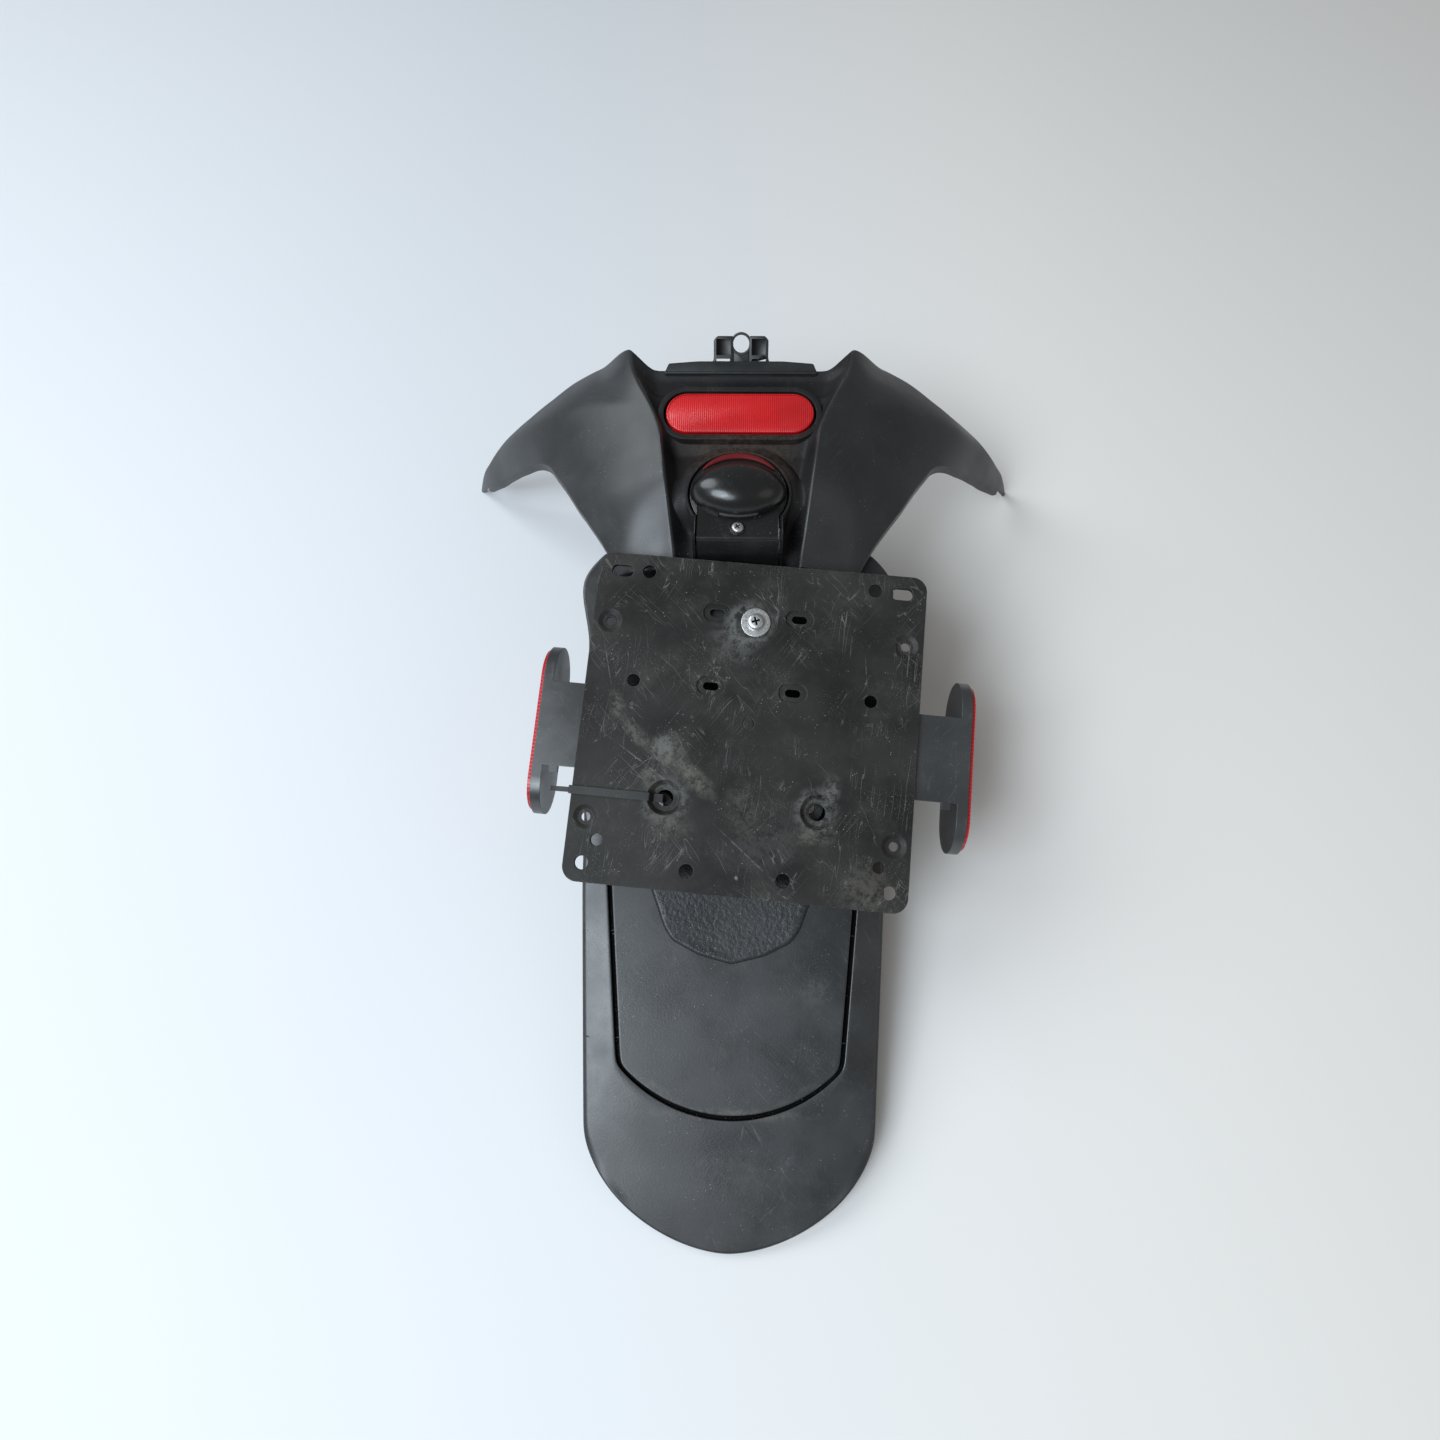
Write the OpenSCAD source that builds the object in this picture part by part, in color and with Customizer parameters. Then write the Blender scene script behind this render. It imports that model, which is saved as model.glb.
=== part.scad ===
// Scooter rear fender: a tail cover with reflector and number plate lamp, a long
// lower tongue, a square plate carrier and a stay with two side reflectors.
// It lies face up. X runs across, +Y towards the tail cover, +Z up, and the
// origin is on the ground below the middle of the whole part. The pieces are
// drawn about a point below the plate carrier, and placed() moves them there.

/* [Lower fender] */
// Place of the tongue's tip along Y
tip_y = -284.5; // [-300:0.5:-270]
// Height of the tongue's top face at its tip
tip_rise = 5; // [5:0.5:8]
// Slope of the tongue at its tip
tongue_slope = 0.29; // [0.27:0.01:0.3]
// Half width where the round end begins
tongue_half_w = 86; // [80:0.5:92]
// Length of the round end
tongue_end = 66.5; // [55:0.5:75]
// Wall of the lower fender
fender_t = 3; // [2.4:0.2:3.6]
// Rise of the centre panel above the side strips
panel_rise = 1.2; // [0.6:0.2:2]
// Width of the groove round the centre panel
groove_w = 2.4; // [1.6:0.2:4]

/* [Plate carrier] */
// Side of the square carrier
plate_size = 200; // [196:1:206]
// Thickness of the carrier
plate_t = 3; // [2.6:0.2:3.6]
// Radius of the carrier's corners
plate_corner_r = 9; // [4:1:14]
// Tilt of the carrier about X, in degrees
plate_tilt = 14; // [13:0.5:15]
// Turn of the carrier about its own screw, in degrees
plate_turn = -4.5; // [-5:0.5:0]
// Middle of the carrier's upper edge, before its turn
plate_top = [8.1, 97.93, 133.29];

/* [Reflector stay] */
// Thickness of the stay
stay_t = 2.6; // [2:0.2:3.4]
// Height of each side arm
arm_h = 51; // [40:1:60]
// Length of a side reflector holder
holder_l = 105; // [95:1:112]
// Height of a side reflector holder
holder_h = 42; // [36:1:46]

/* [Tail cover] */
// Wall of the tail cover
tail_t = 2.8; // [2.4:0.2:3.2]
// Half span over the wing tips
half_span = 224; // [215:1:230]
// Height of the two ridges at their crest
ridge_top = 160.5; // [158:0.5:163]
// Length of the centre reflector
reflector_l = 94; // [86:1:94]
// Width of the centre reflector
reflector_w = 28; // [24:1:28]

/* [Number plate lamp] */
// Radius of the lamp's seat ring
lamp_ring_r = 33.2; // [31:0.2:33.4]
// Half width of the lamp hood
hood_x = 27.3; // [24:0.1:28]
// Half length of the lamp hood
hood_y = 17.5; // [15:0.1:19]
// Height of the lamp hood above its ring
hood_h = 16.3; // [15:0.1:20]

/* [Hidden] */

black_plastic = "#303233";
dull_plastic = "#3a3b3a";
gloss_black = "#141414";
signal_red = "#b01420";
clear_glass = "#e8eef2";
zinc = "#c4c8cc";

// Far larger than the part, for cutting blocks
big = 400;

// Moves a piece from its drawing to its place about the origin
module placed() {
    translate([0, -(tip_y + tail_rear_y + tip_length) / 2, 0]) children();
}

// Ease from 0 to 1 with flat ends
function ease(t) = let (c = min(1, max(0, t))) c * c * (3 - 2 * c);
function mix(a, b, t) = a + (b - a) * t;
function mirrored(points) = concat(points, [for (i = [len(points) - 1:-1:0]) [-points[i].x, points[i].y]]);

// Basic shapes

// A flat shape with round ends, length l along X and width w
module racetrack(l, w) {
    square([l - w, w], center = true);
    for (side = [-1, 1]) translate([side * (l - w) / 2, 0]) circle(d = w, $fn = 64);
}

module rounded_square(size, r) {
    square([size - 2 * r, size], center = true);
    square([size, size - 2 * r], center = true);
    for (x = [r - size / 2, size / 2 - r], y = [r - size / 2, size / 2 - r])
        translate([x, y]) circle(r = r, $fn = 48);
}

// A pan head screw that hangs from z = 0, with a cross recess in its head
module pan_screw(head_r, head_h, shaft_r, shaft_l) {
    slot_w = head_r * 0.28;
    rim_h = head_h * 0.45;
    recess_turn = 20;
    difference() {
        union() {
            cylinder(r = head_r, h = rim_h, $fn = 48);
            translate([0, 0, rim_h]) cylinder(r1 = head_r, r2 = head_r * 0.72, h = head_h - rim_h, $fn = 48);
            translate([0, 0, -shaft_l]) cylinder(r = shaft_r, h = shaft_l, $fn = 32);
        }
        for (turn = [recess_turn, recess_turn + 90]) rotate(turn)
            translate([-head_r * 0.55, -slot_w / 2, head_h * 0.35]) cube([head_r * 1.1, slot_w, head_h]);
    }
}

module hex_nut(across, bore_r, h) {
    difference() {
        cylinder(d = across / cos(30), h = h, $fn = 6);
        translate([0, 0, -1]) cylinder(r = bore_r, h = h + 2, $fn = 32);
    }
}

// Lower fender

fender_back_y = 128;
skirt_tip_drop = 5;
skirt_drop = 16;
skirt_growth = 0.12;
skirt_w = 2.6;
tongue_sag = 0.0001;
end_power = 1.75;
end_steps = 10;
profile_step = 12;
groove_depth = 1.8;

// Height of the fender's top face, which bends slightly along Y
function deck_z(y) = let (s = y - tip_y) tip_rise + tongue_slope * s - tongue_sag * s * s;
function deck_angle(y) = atan(tongue_slope - 2 * tongue_sag * (y - tip_y));
function skirt_z(y) = let (s = y - tip_y) deck_z(y) - min(skirt_drop, skirt_tip_drop + skirt_growth * s);

profile_ys = [for (y = [tip_y:profile_step:fender_back_y + 10]) y];

// Extrudes a side view, drawn as Y against Z, across the whole width
module across(half_w = 130) {
    rotate([90, 0, 90]) translate([0, 0, -half_w]) linear_extrude(2 * half_w) children();
}

// The layer from up above the deck line to down below it
module deck_layer(up, down) {
    across() polygon(concat([for (y = profile_ys) [y, deck_z(y) + up]],
        [for (i = [len(profile_ys) - 1:-1:0]) [profile_ys[i], deck_z(profile_ys[i]) - down]]));
}

module skirt_layer() {
    across() polygon(concat([for (y = profile_ys) [y, deck_z(y) - 1]],
        [for (i = [len(profile_ys) - 1:-1:0]) [profile_ys[i], max(0, skirt_z(profile_ys[i]))]]));
}

// Plan outline, moved inwards by inset
function fender_half(inset) = concat(
    [[84 - inset, fender_back_y - inset], [101 - inset, 108 - inset * 0.4], [101.5 - inset, 97],
        [95 - inset, 68], [92.6 - inset, -83]],
    [for (i = [0:end_steps]) let (t = 90 * i / end_steps)
        [(tongue_half_w - inset) * pow(cos(t), 2 / end_power),
            tip_y + tongue_end - (tongue_end - inset) * pow(sin(t), 2 / end_power)]]);

module fender_plan(inset = 0) {
    linear_extrude(big) polygon(mirrored(fender_half(inset)));
}

// Centre panel: straight sides, cropped corners and a shallow bow at its lower edge
panel_bow_r = 91.7;
panel_low_y = -214.5;
panel_corner = [65, -190];
bow_steps = 8;

function panel_half(inset) = concat(
    [[83 - inset, 62], [76.5 - inset, -83], [68.5 - inset, -172], [67.5 - inset, -184]],
    [for (i = [bow_steps:-1:0]) let (x = (panel_corner.x - inset) * i / bow_steps)
        [x, panel_low_y + inset + panel_bow_r - sqrt(panel_bow_r * panel_bow_r - x * x)]]);

module panel_plan(inset) {
    linear_extrude(big) polygon(mirrored(panel_half(inset)));
}

// Shield shaped pad on the centre panel, just below the plate carrier
shield_half = [[54, -60], [49.5, -87], [41, -109], [36, -116], [20, -124], [0, -129]];

module shield_plan() {
    linear_extrude(big) polygon(mirrored(shield_half));
}

half_plate = plate_size / 2;
// Middle of the carrier's front face
plate_centre = plate_top - half_plate * [0, cos(plate_tilt), sin(plate_tilt)];

// Frame of the plate, tilted but not turned, with its origin above x = 0
module plate_plane() {
    translate([0, plate_centre.y, plate_centre.z]) rotate([plate_tilt, 0, 0]) children();
}

// Frame of the carrier itself, at the middle of its front face
module plate_frame() {
    translate(plate_centre) rotate([plate_tilt, 0, 0]) rotate([0, 0, plate_turn]) children();
}

top_tower = [0, half_plate - 37];
top_tower_l = 44;
top_tower_w = 20;
slot_l = 31;
slot_w = 6.8;
low_tower = [45, 53 - half_plate];
low_tower_r = 8.5;
low_tower_drop = 13;
tower_wall = 3;
clip_hole_r = 3.4;
under_stack = plate_t + stay_t;

// Joining screws come up through the deck into two towers of the tail cover
join_at = [40, 120];
join_r = 2;

module at_joins() {
    for (side = [-1, 1])
        translate([side * join_at.x, join_at.y, deck_z(join_at.y)])
            rotate([deck_angle(join_at.y), 0, 0]) children();
}

module top_tower_shape(l, w, up, h) {
    plate_plane() translate([top_tower.x, top_tower.y, up - h]) linear_extrude(h) racetrack(l, w);
}

module lower_fender_towers() {
    intersection() {
        deck_layer(60, 1.5);
        union() {
            top_tower_shape(top_tower_l, top_tower_w, -under_stack, 50);
            for (side = [-1, 1])
                plate_plane() translate([side * low_tower.x, low_tower.y, -low_tower_drop - 50])
                    cylinder(r = low_tower_r, h = 50, $fn = 64);
        }
    }
}

module lower_fender_holes() {
    top_tower_shape(top_tower_l - 2 * tower_wall, top_tower_w - 2 * tower_wall, -under_stack - 4, 60);
    top_tower_shape(slot_l, slot_w, 1, 60);
    for (side = [-1, 1])
        plate_plane() translate([side * low_tower.x, low_tower.y, -80]) {
            cylinder(r = clip_hole_r, h = 90, $fn = 48);
            cylinder(r = low_tower_r - 2.4, h = 80 - low_tower_drop - 2.5, $fn = 48);
        }
    at_joins() translate([0, 0, -10]) cylinder(r = join_r + 0.4, h = 20, $fn = 32);
}

// Bevel along both outer edges of the side strips
module strip_bevel(side) {
    bevel_w = 18;
    bevel_drop = 2.8;
    edge_turn = atan((92.6 - tongue_half_w) / 135);
    translate([side * 93.4, -83, deck_z(-83)])
        rotate([deck_angle(-150), 0, side * edge_turn * -1])
            rotate([90, 0, 0]) translate([0, 0, -40]) linear_extrude(200)
                polygon([[0, 2], [0, -bevel_drop], [-side * bevel_w, 0], [-side * bevel_w, 2]]);
}

module under_ribs() {
    rib_t = 2.2;
    rib_drop = 11;
    intersection() {
        deck_layer(-1, rib_drop);
        translate([0, 0, -1]) fender_plan(1);
        union() {
            for (x = [-58, -22, 22, 58]) translate([x - rib_t / 2, -205, 0]) cube([rib_t, 300, big]);
            for (y = [-170, -110, 0, 95]) translate([-120, y - rib_t / 2, 0]) cube([240, rib_t, big]);
        }
    }
}

module lower_fender() {
    color(black_plastic) placed() difference() {
        union() {
            intersection() {
                deck_layer(0, fender_t);
                fender_plan();
            }
            intersection() {
                deck_layer(panel_rise, 1);
                panel_plan(groove_w);
            }
            intersection() {
                deck_layer(panel_rise + 1.4, 1);
                shield_plan();
            }
            intersection() {
                skirt_layer();
                difference() {
                    fender_plan();
                    translate([0, 0, -1]) fender_plan(skirt_w);
                }
            }
            // Thicker deck below the bevels
            intersection() {
                deck_layer(-1, fender_t + 1.8);
                difference() {
                    fender_plan();
                    translate([0, 0, -1]) fender_plan(11);
                    translate([-80, 80, -1]) cube([160, 60, big]);
                }
            }
            under_ribs();
            lower_fender_towers();
        }
        intersection() {
            deck_layer(3, groove_depth);
            difference() {
                panel_plan(0);
                translate([0, 0, -1]) panel_plan(groove_w);
            }
        }
        strip_bevel(-1);
        strip_bevel(1);
        lower_fender_holes();
    }
}

// Plate carrier

// Places are kept from the carrier's edges, those of the middle row from its centre
carrier_screw = [-1.3, half_plate - 37];
cup_places = [[half_plate - 10.5, half_plate - 43.4], [half_plate - 10, 37.7 - half_plate]];
oval_places = [[25, half_plate - 32.6], [24.6, 22]];
corner_slot_at = [half_plate - 14.7, half_plate - 11.2];
big_cup = [45, 53.2 - half_plate];
big_cup_r = 10.4;
big_cup_depth = 5;
big_cup_hole_r = 4.9;
boss_drop = 7;
peg_place = [half_plate - 29.3, 7.2];
peg_r = 1.5;
peg_gap = 0.15;
// Plain round holes: x, y and radius
plain_holes = [[half_plate - 31.1, half_plate - 10.5, 4.1], [half_plate - 29, 21.2, 3.8],
    [half_plate - 18, 25 - half_plate, 3.5], [half_plate - 10.8, 11.1 - half_plate, 4],
    [28, 12 - half_plate, 4.2]];
edge_rib_w = 2.4;
edge_rib_drop = 5;
cut_depth = 12;

// Cuts a dished screw seat with its hole
module dish(r_top, r_floor, depth, hole_r) {
    translate([0, 0, -depth]) cylinder(r1 = r_floor, r2 = r_top, h = depth, $fn = 64);
    cylinder(r = r_top, h = 1, $fn = 64);
    translate([0, 0, -20]) cylinder(r = hole_r, h = 21, $fn = 48);
}

module carrier_cuts(side) {
    for (p = cup_places) translate([side * p.x, p.y, 0]) dish(7.3, 4.6, 1.5, 2.7);
    for (p = oval_places) translate([side * p.x, p.y, 0]) {
        translate([0, 0, -1.2]) linear_extrude(3) racetrack(17.2, 11.6);
        translate([0, 0, 2 - cut_depth]) linear_extrude(cut_depth) racetrack(9.3, 4.8);
    }
    for (h = plain_holes)
        translate([side * h.x, h.y, 2 - cut_depth]) cylinder(r = h.z, h = cut_depth, $fn = 48);
    translate([side * corner_slot_at.x, corner_slot_at.y, 2 - cut_depth])
        linear_extrude(cut_depth) racetrack(13.5, 7.4);
    translate([side * peg_place.x, peg_place.y, 2 - cut_depth])
        cylinder(r = peg_r + peg_gap, h = cut_depth, $fn = 32);
    translate([side * big_cup.x, big_cup.y, 0])
        dish(big_cup_r, big_cup_r - 2.4, big_cup_depth, big_cup_hole_r);
}

module plate_carrier() {
    color(dull_plastic) placed() plate_frame() difference() {
        union() {
            translate([0, 0, -plate_t]) linear_extrude(plate_t) rounded_square(plate_size, plate_corner_r);
            for (side = [-1, 1]) {
                translate([side * big_cup.x, big_cup.y, -boss_drop])
                    cylinder(r = big_cup_r + 1.6, h = boss_drop - 0.5, $fn = 64);
                translate([plate_corner_r - half_plate, side * (half_plate - edge_rib_w / 2) - edge_rib_w / 2,
                    -edge_rib_drop])
                    cube([plate_size - 2 * plate_corner_r, edge_rib_w, edge_rib_drop - 0.5]);
            }
        }
        carrier_cuts(-1);
        carrier_cuts(1);
        translate([carrier_screw.x, carrier_screw.y, -10]) cylinder(r = 3.3, h = 12, $fn = 48);
        translate([0, 1.3, -0.4]) difference() {
            cylinder(r = 3.7, h = 1, $fn = 48);
            translate([0, 0, -1]) cylinder(r = 2.9, h = 3, $fn = 48);
        }
    }
}

// Plate fixing screw with its washer and the square nut inside the tower

washer_t = 1.4;

module at_carrier_screw(up = 0) {
    plate_frame() translate([carrier_screw.x, carrier_screw.y, up]) children();
}

module plate_washer() {
    color(zinc) placed() at_carrier_screw() difference() {
        cylinder(r = 8.9, h = washer_t, $fn = 64);
        translate([0, 0, -1]) cylinder(r = 3.2, h = 4, $fn = 48);
    }
}

module plate_screw() {
    color(zinc) placed() at_carrier_screw(washer_t) pan_screw(5.1, 3.4, 2.9, 22);
}

module plate_nut() {
    nut_side = 10;
    color(zinc) placed() at_carrier_screw(-under_stack - 4 - 5) difference() {
        rotate(-plate_turn) translate([-nut_side / 2, -nut_side / 2, 0]) cube([nut_side, nut_side, 5]);
        translate([0, 0, -1]) cylinder(r = 3, h = 7, $fn = 32);
    }
}

// Reflector stay: a cross bar with a tab up to the plate screw and a holder at each end

stay_shift = 2.9;
// The holders stand clear of the carrier's edges
holder_clear = 22.7;
holder_depth = 6.2;
holder_inner_x = half_plate + holder_clear;
holder_outer_x = holder_inner_x + holder_depth;
hook_inset = 6.7;
tab_w = 34;
tab_past_screw = 12;
backing_shelf = 1.6;
holder_y = -10.4;
holder_wall = 2;
arm_y = -8.5;
lens_proud = 2.3;
lens_gap = 0.3;
side_stud_r = 2.5;
holder_mid_z = -plate_t - holder_h / 2;

// Puts a shape drawn as length against height upright, facing out to one side
module side_face(side, x) {
    plate_frame() translate([stay_shift + side * x, holder_y, holder_mid_z])
        rotate([90, 0, side * 90]) children();
}

module holder(side) {
    side_face(side, holder_inner_x) difference() {
        linear_extrude(holder_depth) racetrack(holder_l, holder_h);
        translate([0, 0, holder_wall])
            linear_extrude(holder_depth) racetrack(holder_l - 2 * holder_wall, holder_h - 2 * holder_wall);
        translate([0, 0, -1]) cylinder(r = side_stud_r + 0.2, h = 10, $fn = 32);
    }
}

module reflector_stay() {
    color(black_plastic) placed() {
        for (side = [-1, 1]) holder(side);
        plate_frame() difference() {
            union() {
                translate([stay_shift, arm_y, -plate_t - stay_t / 2])
                    cube([2 * holder_outer_x - 0.4, arm_h, stay_t], center = true);
                translate([carrier_screw.x - tab_w / 2, arm_y, -under_stack])
                    cube([tab_w, carrier_screw.y + tab_past_screw - arm_y, stay_t]);
                for (side = [-1, 1]) {
                    translate([side * peg_place.x, peg_place.y, -under_stack + 0.5])
                        cylinder(r = peg_r, h = under_stack - 1, $fn = 32);
                    translate([stay_shift + side * (holder_inner_x - hook_inset) - 2.5, arm_y - arm_h / 2 - 4,
                        -under_stack])
                        cube([5, 6, stay_t]);
                    for (dy = [-18, 18])
                        translate([stay_shift + side * (holder_inner_x - 8) - 9, arm_y + dy - 1,
                            -under_stack - 5])
                            cube([17.4, 2, 6]);
                }
            }
            translate([carrier_screw.x, carrier_screw.y, -20]) cylinder(r = 3.3, h = 30, $fn = 48);
        }
    }
}

// What fits inside a holder with a small gap all round
module holder_fill() {
    racetrack(holder_l - 2 * (holder_wall + lens_gap), holder_h - 2 * (holder_wall + lens_gap));
}

module side_lens(side) {
    color(signal_red) placed() side_face(side, holder_inner_x + holder_wall + backing_shelf)
        linear_extrude(holder_depth - holder_wall - backing_shelf + lens_proud)
            holder_fill();
}

module side_back(side) {
    color(gloss_black) placed() side_face(side, holder_inner_x + holder_wall) {
        linear_extrude(backing_shelf - 0.1) holder_fill();
        translate([0, 0, -9]) cylinder(r = side_stud_r, h = 9.5, $fn = 32);
    }
}

module side_nuts() {
    color(zinc) placed() for (side = [-1, 1])
        side_face(side, holder_inner_x - 4.1) hex_nut(8, side_stud_r + 0.05, 4);
}

// Tail cover

tail_front_y = 106;
tail_rear_y = 250;
tail_rows = [106, 111, 118, 126, 134, 142, 150, 158, 165, 172, 180, 187, 193, 199, 205, 210, 215, 220, 226,
    232, 238, 244, 250];
floor_cols = 3;
side_cols = 4;
wing_cols = 13;
cols = floor_cols + side_cols + wing_cols;
tip_length = 12;
// The crease starts on the ridge and slants out to a shallow notch in the rear edge
crease_start = [57, 200];
crease_slant = 0.35;
crease_fall = 0.3;
crease_soft = 3;
// The wing's front edge rolls down towards the tip
roll_depth = 15;
roll_width = 24;

// Half width between the ridges, which flare out towards the rear
function ridge_x(y) = 39 + 0.13 * (y - 100) + 15 * ease((y - 175) / 65);
function ridge_z(y) = ridge_top - 0.0019 * (y - 205) * (y - 205);
// Width of the sloping side of the trough
function trough_side(y) = lookup(y, [[106, 12], [141, 10], [190, 6.7], [230, 16], [250, 17]]);
function floor_z(y) = lookup(y, [[106, 135], [111, 138], [172, 143], [180, 151], [211, 152.5], [216, 149.5],
    [229, 149], [234.5, 153.5]]);
// Outer edge of the wing in plan, for each row
function wing_edge(row_y) = lookup(row_y, [[106, 81], [118, 87], [126, 91.5], [150, 106.5], [172, 119],
    [193, 132], [199, 138.7], [205, 147.7], [210, 156.1], [226, 179.4], [238, 200.9], [250, half_span]]);
function rear_edge_y(a) = lookup(a, [[56, 234.5], [60, 236.5], [73, 250], [99, 260.5], [118, 256],
    [133, 248.5], [152, 245], [167, 245.5], [182, 247], [200, 250.5], [half_span, tail_rear_y + tip_length]]);
function front_edge_y(a) = lookup(a, [[119, 172], [132, 193], [139.5, 199.3], [149.5, 205.6], [159, 211],
    [185.5, 229.2], [207.5, 243.9], [half_span, tail_rear_y + tip_length]]);
// Fall of the wing with the distance d outside the ridge
function wing_fall(d) = 0.38 * d + 0.0038 * d * d + 0.012 * pow(max(0, d - 125), 2);
function rear_band(a, d, y) = let (past = y - crease_start.y - crease_slant * (a - crease_start.x))
    crease_fall * (past + sqrt(past * past + crease_soft * crease_soft)) / 2 * ease(d / 25);
function front_roll(a, y) = let (near = max(0, 1 - (y - front_edge_y(a)) / roll_width))
    roll_depth * ease((a - 135) / 50) * near * near;

function tail_z(x, y) = let (a = abs(x), r = ridge_x(y), f = r - trough_side(y))
    a <= f ? floor_z(y) :
    a < r ? mix(floor_z(y), ridge_z(y), ease((a - f) / (r - f))) :
    ridge_z(y) - wing_fall(a - r) - rear_band(a, a - r, y) - front_roll(a, y);

// Rows bend near the rear, so that the last one follows the rear edge
function row_to_y(row_y, a) =
    row_y + pow((row_y - tail_front_y) / (tail_rear_y - tail_front_y), 6) * (rear_edge_y(a) - tail_rear_y);

function column_a(k, row_y) = let (r = ridge_x(row_y), f = r - trough_side(row_y))
    k <= floor_cols ? f * k / floor_cols :
    k <= floor_cols + side_cols ? mix(f, r, (k - floor_cols) / side_cols) :
    mix(r, wing_edge(row_y), (k - floor_cols - side_cols) / wing_cols);

function tail_point(i, row_y) = let (a = column_a(abs(i), row_y), y = row_to_y(row_y, a))
    [a * sign(i), y, tail_z(a, y)];

function tail_normal(p) = let (h = 0.4,
    dx = (tail_z(p.x + h, p.y) - tail_z(p.x - h, p.y)) / (2 * h),
    dy = (tail_z(p.x, p.y + h) - tail_z(p.x, p.y - h)) / (2 * h),
    n = [-dx, -dy, 1]) n / norm(n);

// A closed sheet between two grids of rows by columns, the first one on top
module sheet(top, under) {
    rows = len(top);
    width = len(top[0]);
    n = rows * width;
    function id(r, c) = r * width + c;
    points = concat([for (r = top, p = r) p], [for (r = under, p = r) p]);
    faces = concat(
        [for (r = [0:rows - 2], c = [0:width - 2]) each [[id(r, c), id(r + 1, c), id(r, c + 1)],
            [id(r, c + 1), id(r + 1, c), id(r + 1, c + 1)]]],
        [for (r = [0:rows - 2], c = [0:width - 2]) each [[n + id(r, c), n + id(r, c + 1), n + id(r + 1, c)],
            [n + id(r, c + 1), n + id(r + 1, c + 1), n + id(r + 1, c)]]],
        [for (c = [0:width - 2]) each [[id(0, c), id(0, c + 1), n + id(0, c)],
            [id(0, c + 1), n + id(0, c + 1), n + id(0, c)]]],
        [for (c = [0:width - 2]) each [[id(rows - 1, c + 1), id(rows - 1, c), n + id(rows - 1, c)],
            [id(rows - 1, c + 1), n + id(rows - 1, c), n + id(rows - 1, c + 1)]]],
        [for (r = [0:rows - 2]) each [[id(r + 1, 0), id(r, 0), n + id(r, 0)],
            [id(r + 1, 0), n + id(r, 0), n + id(r + 1, 0)]]],
        [for (r = [0:rows - 2]) each [[id(r, width - 1), id(r + 1, width - 1), n + id(r, width - 1)],
            [id(r + 1, width - 1), n + id(r + 1, width - 1), n + id(r, width - 1)]]]);
    polyhedron(points, faces);
}

module tail_shell() {
    top = [for (row = tail_rows) [for (i = [-cols:cols]) tail_point(i, row)]];
    sheet(top, [for (r = top) [for (p = r) p - tail_t * tail_normal(p)]]);
}

// A wall that hangs from the shell along a path of plan points, drop[i] deep
module hanging_wall(path, drop, wall_t) {
    last = len(path) - 1;
    function across_dir(i) = let (d = path[min(last, i + 1)] - path[max(0, i - 1)]) [-d.y, d.x] / norm(d);
    near = [for (i = [0:last]) path[i]];
    far = [for (i = [0:last]) path[i] + wall_t * across_dir(i)];
    function head(p) = [p.x, p.y, tail_z(p.x, p.y) - tail_t * 0.6];
    top = [[for (p = near) head(p)], [for (p = far) head(p)]];
    sheet(top, [for (r = top) [for (i = [0:last]) [r[i].x, r[i].y, top[0][i].z - drop[i]]]]);
}

flange_inset = 0.7;
flange_rows = [106, 116, 126, 138, 150, 161, 172, 184, 193, 199, 205, 210, 218, 226, 232, 238, 243];

// Depth of the flange below the wings, which fades out before the tip
function wing_drop(a) = lookup(a, [[65, 7], [165, 7], [185, 9], [200, 8], [213, 2]]);

// Return flange along the front edge, deep over the deck and shallow under the wings
module front_flange() {
    wings = [for (row = flange_rows) let (a = wing_edge(row) - flange_inset * 1.4)
        [a, row_to_y(row, a) + flange_inset]];
    path = concat([for (i = [len(wings) - 1:-1:0]) [-wings[i].x, wings[i].y]],
        [for (x = [-60, -42, -30, -15, 0, 15, 30, 42, 60]) [x, tail_front_y + flange_inset]], wings);
    drop = [for (p = path) abs(p.x) < 50 ? tail_z(p.x, p.y) - deck_z(p.y) + 4 :
        abs(p.x) < 65 ? 16 : wing_drop(abs(p.x))];
    hanging_wall(path, drop, 2.2);
}

module wing_ribs() {
    rib_low = 2;
    rib_deep = 11;
    for (side = [-1, 1], rib = [[92, 150, 244], [138, 208, 243]]) {
        steps = [0:0.1:1];
        hanging_wall([for (t = steps) [side * rib[0], mix(rib[1], rib[2], t)]],
            [for (t = steps) rib_low + (rib_deep - rib_low) * ease(3 * min(t, 1 - t))], 2.2);
    }
}

reflector_at = [0, 196.5];
reflector_face_z = 153.8;
reflector_gap = 1.5;
reflector_t = 5.2;
backing_t = 1.6;
pocket_wall = 2;
pocket_floor_z = reflector_face_z - reflector_t - backing_t;
pocket_l = reflector_l + 2 * reflector_gap;
pocket_w = reflector_w + 2 * reflector_gap;
reflector_stud_r = 2.5;
// Raised rims round the pocket and behind the lamp's seat ring
pocket_rim_w = 2.6;
pocket_rim_top = 153.2;
collar_w = 4.2;
collar_top = 147.2;

lamp_at = [0, 142];
lamp_seat_z = 142.5;
lamp_top_z = 148;
lamp_screw_at = [0, 113];
lamp_screw_seat = 6.2;
lamp_boss_z = 126;
apron_half_w = 25.5;
apron_rim_w = 1.6;
apron_rim_h = 0.9;
grommet_at = [0, 161];

module reflector_place(z) {
    translate([reflector_at.x, reflector_at.y, z]) children();
}

module lamp_place(z) {
    translate([lamp_at.x, lamp_at.y, z]) children();
}

module lamp_screw_place(z) {
    translate([lamp_screw_at.x, lamp_screw_at.y, z]) children();
}

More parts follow.
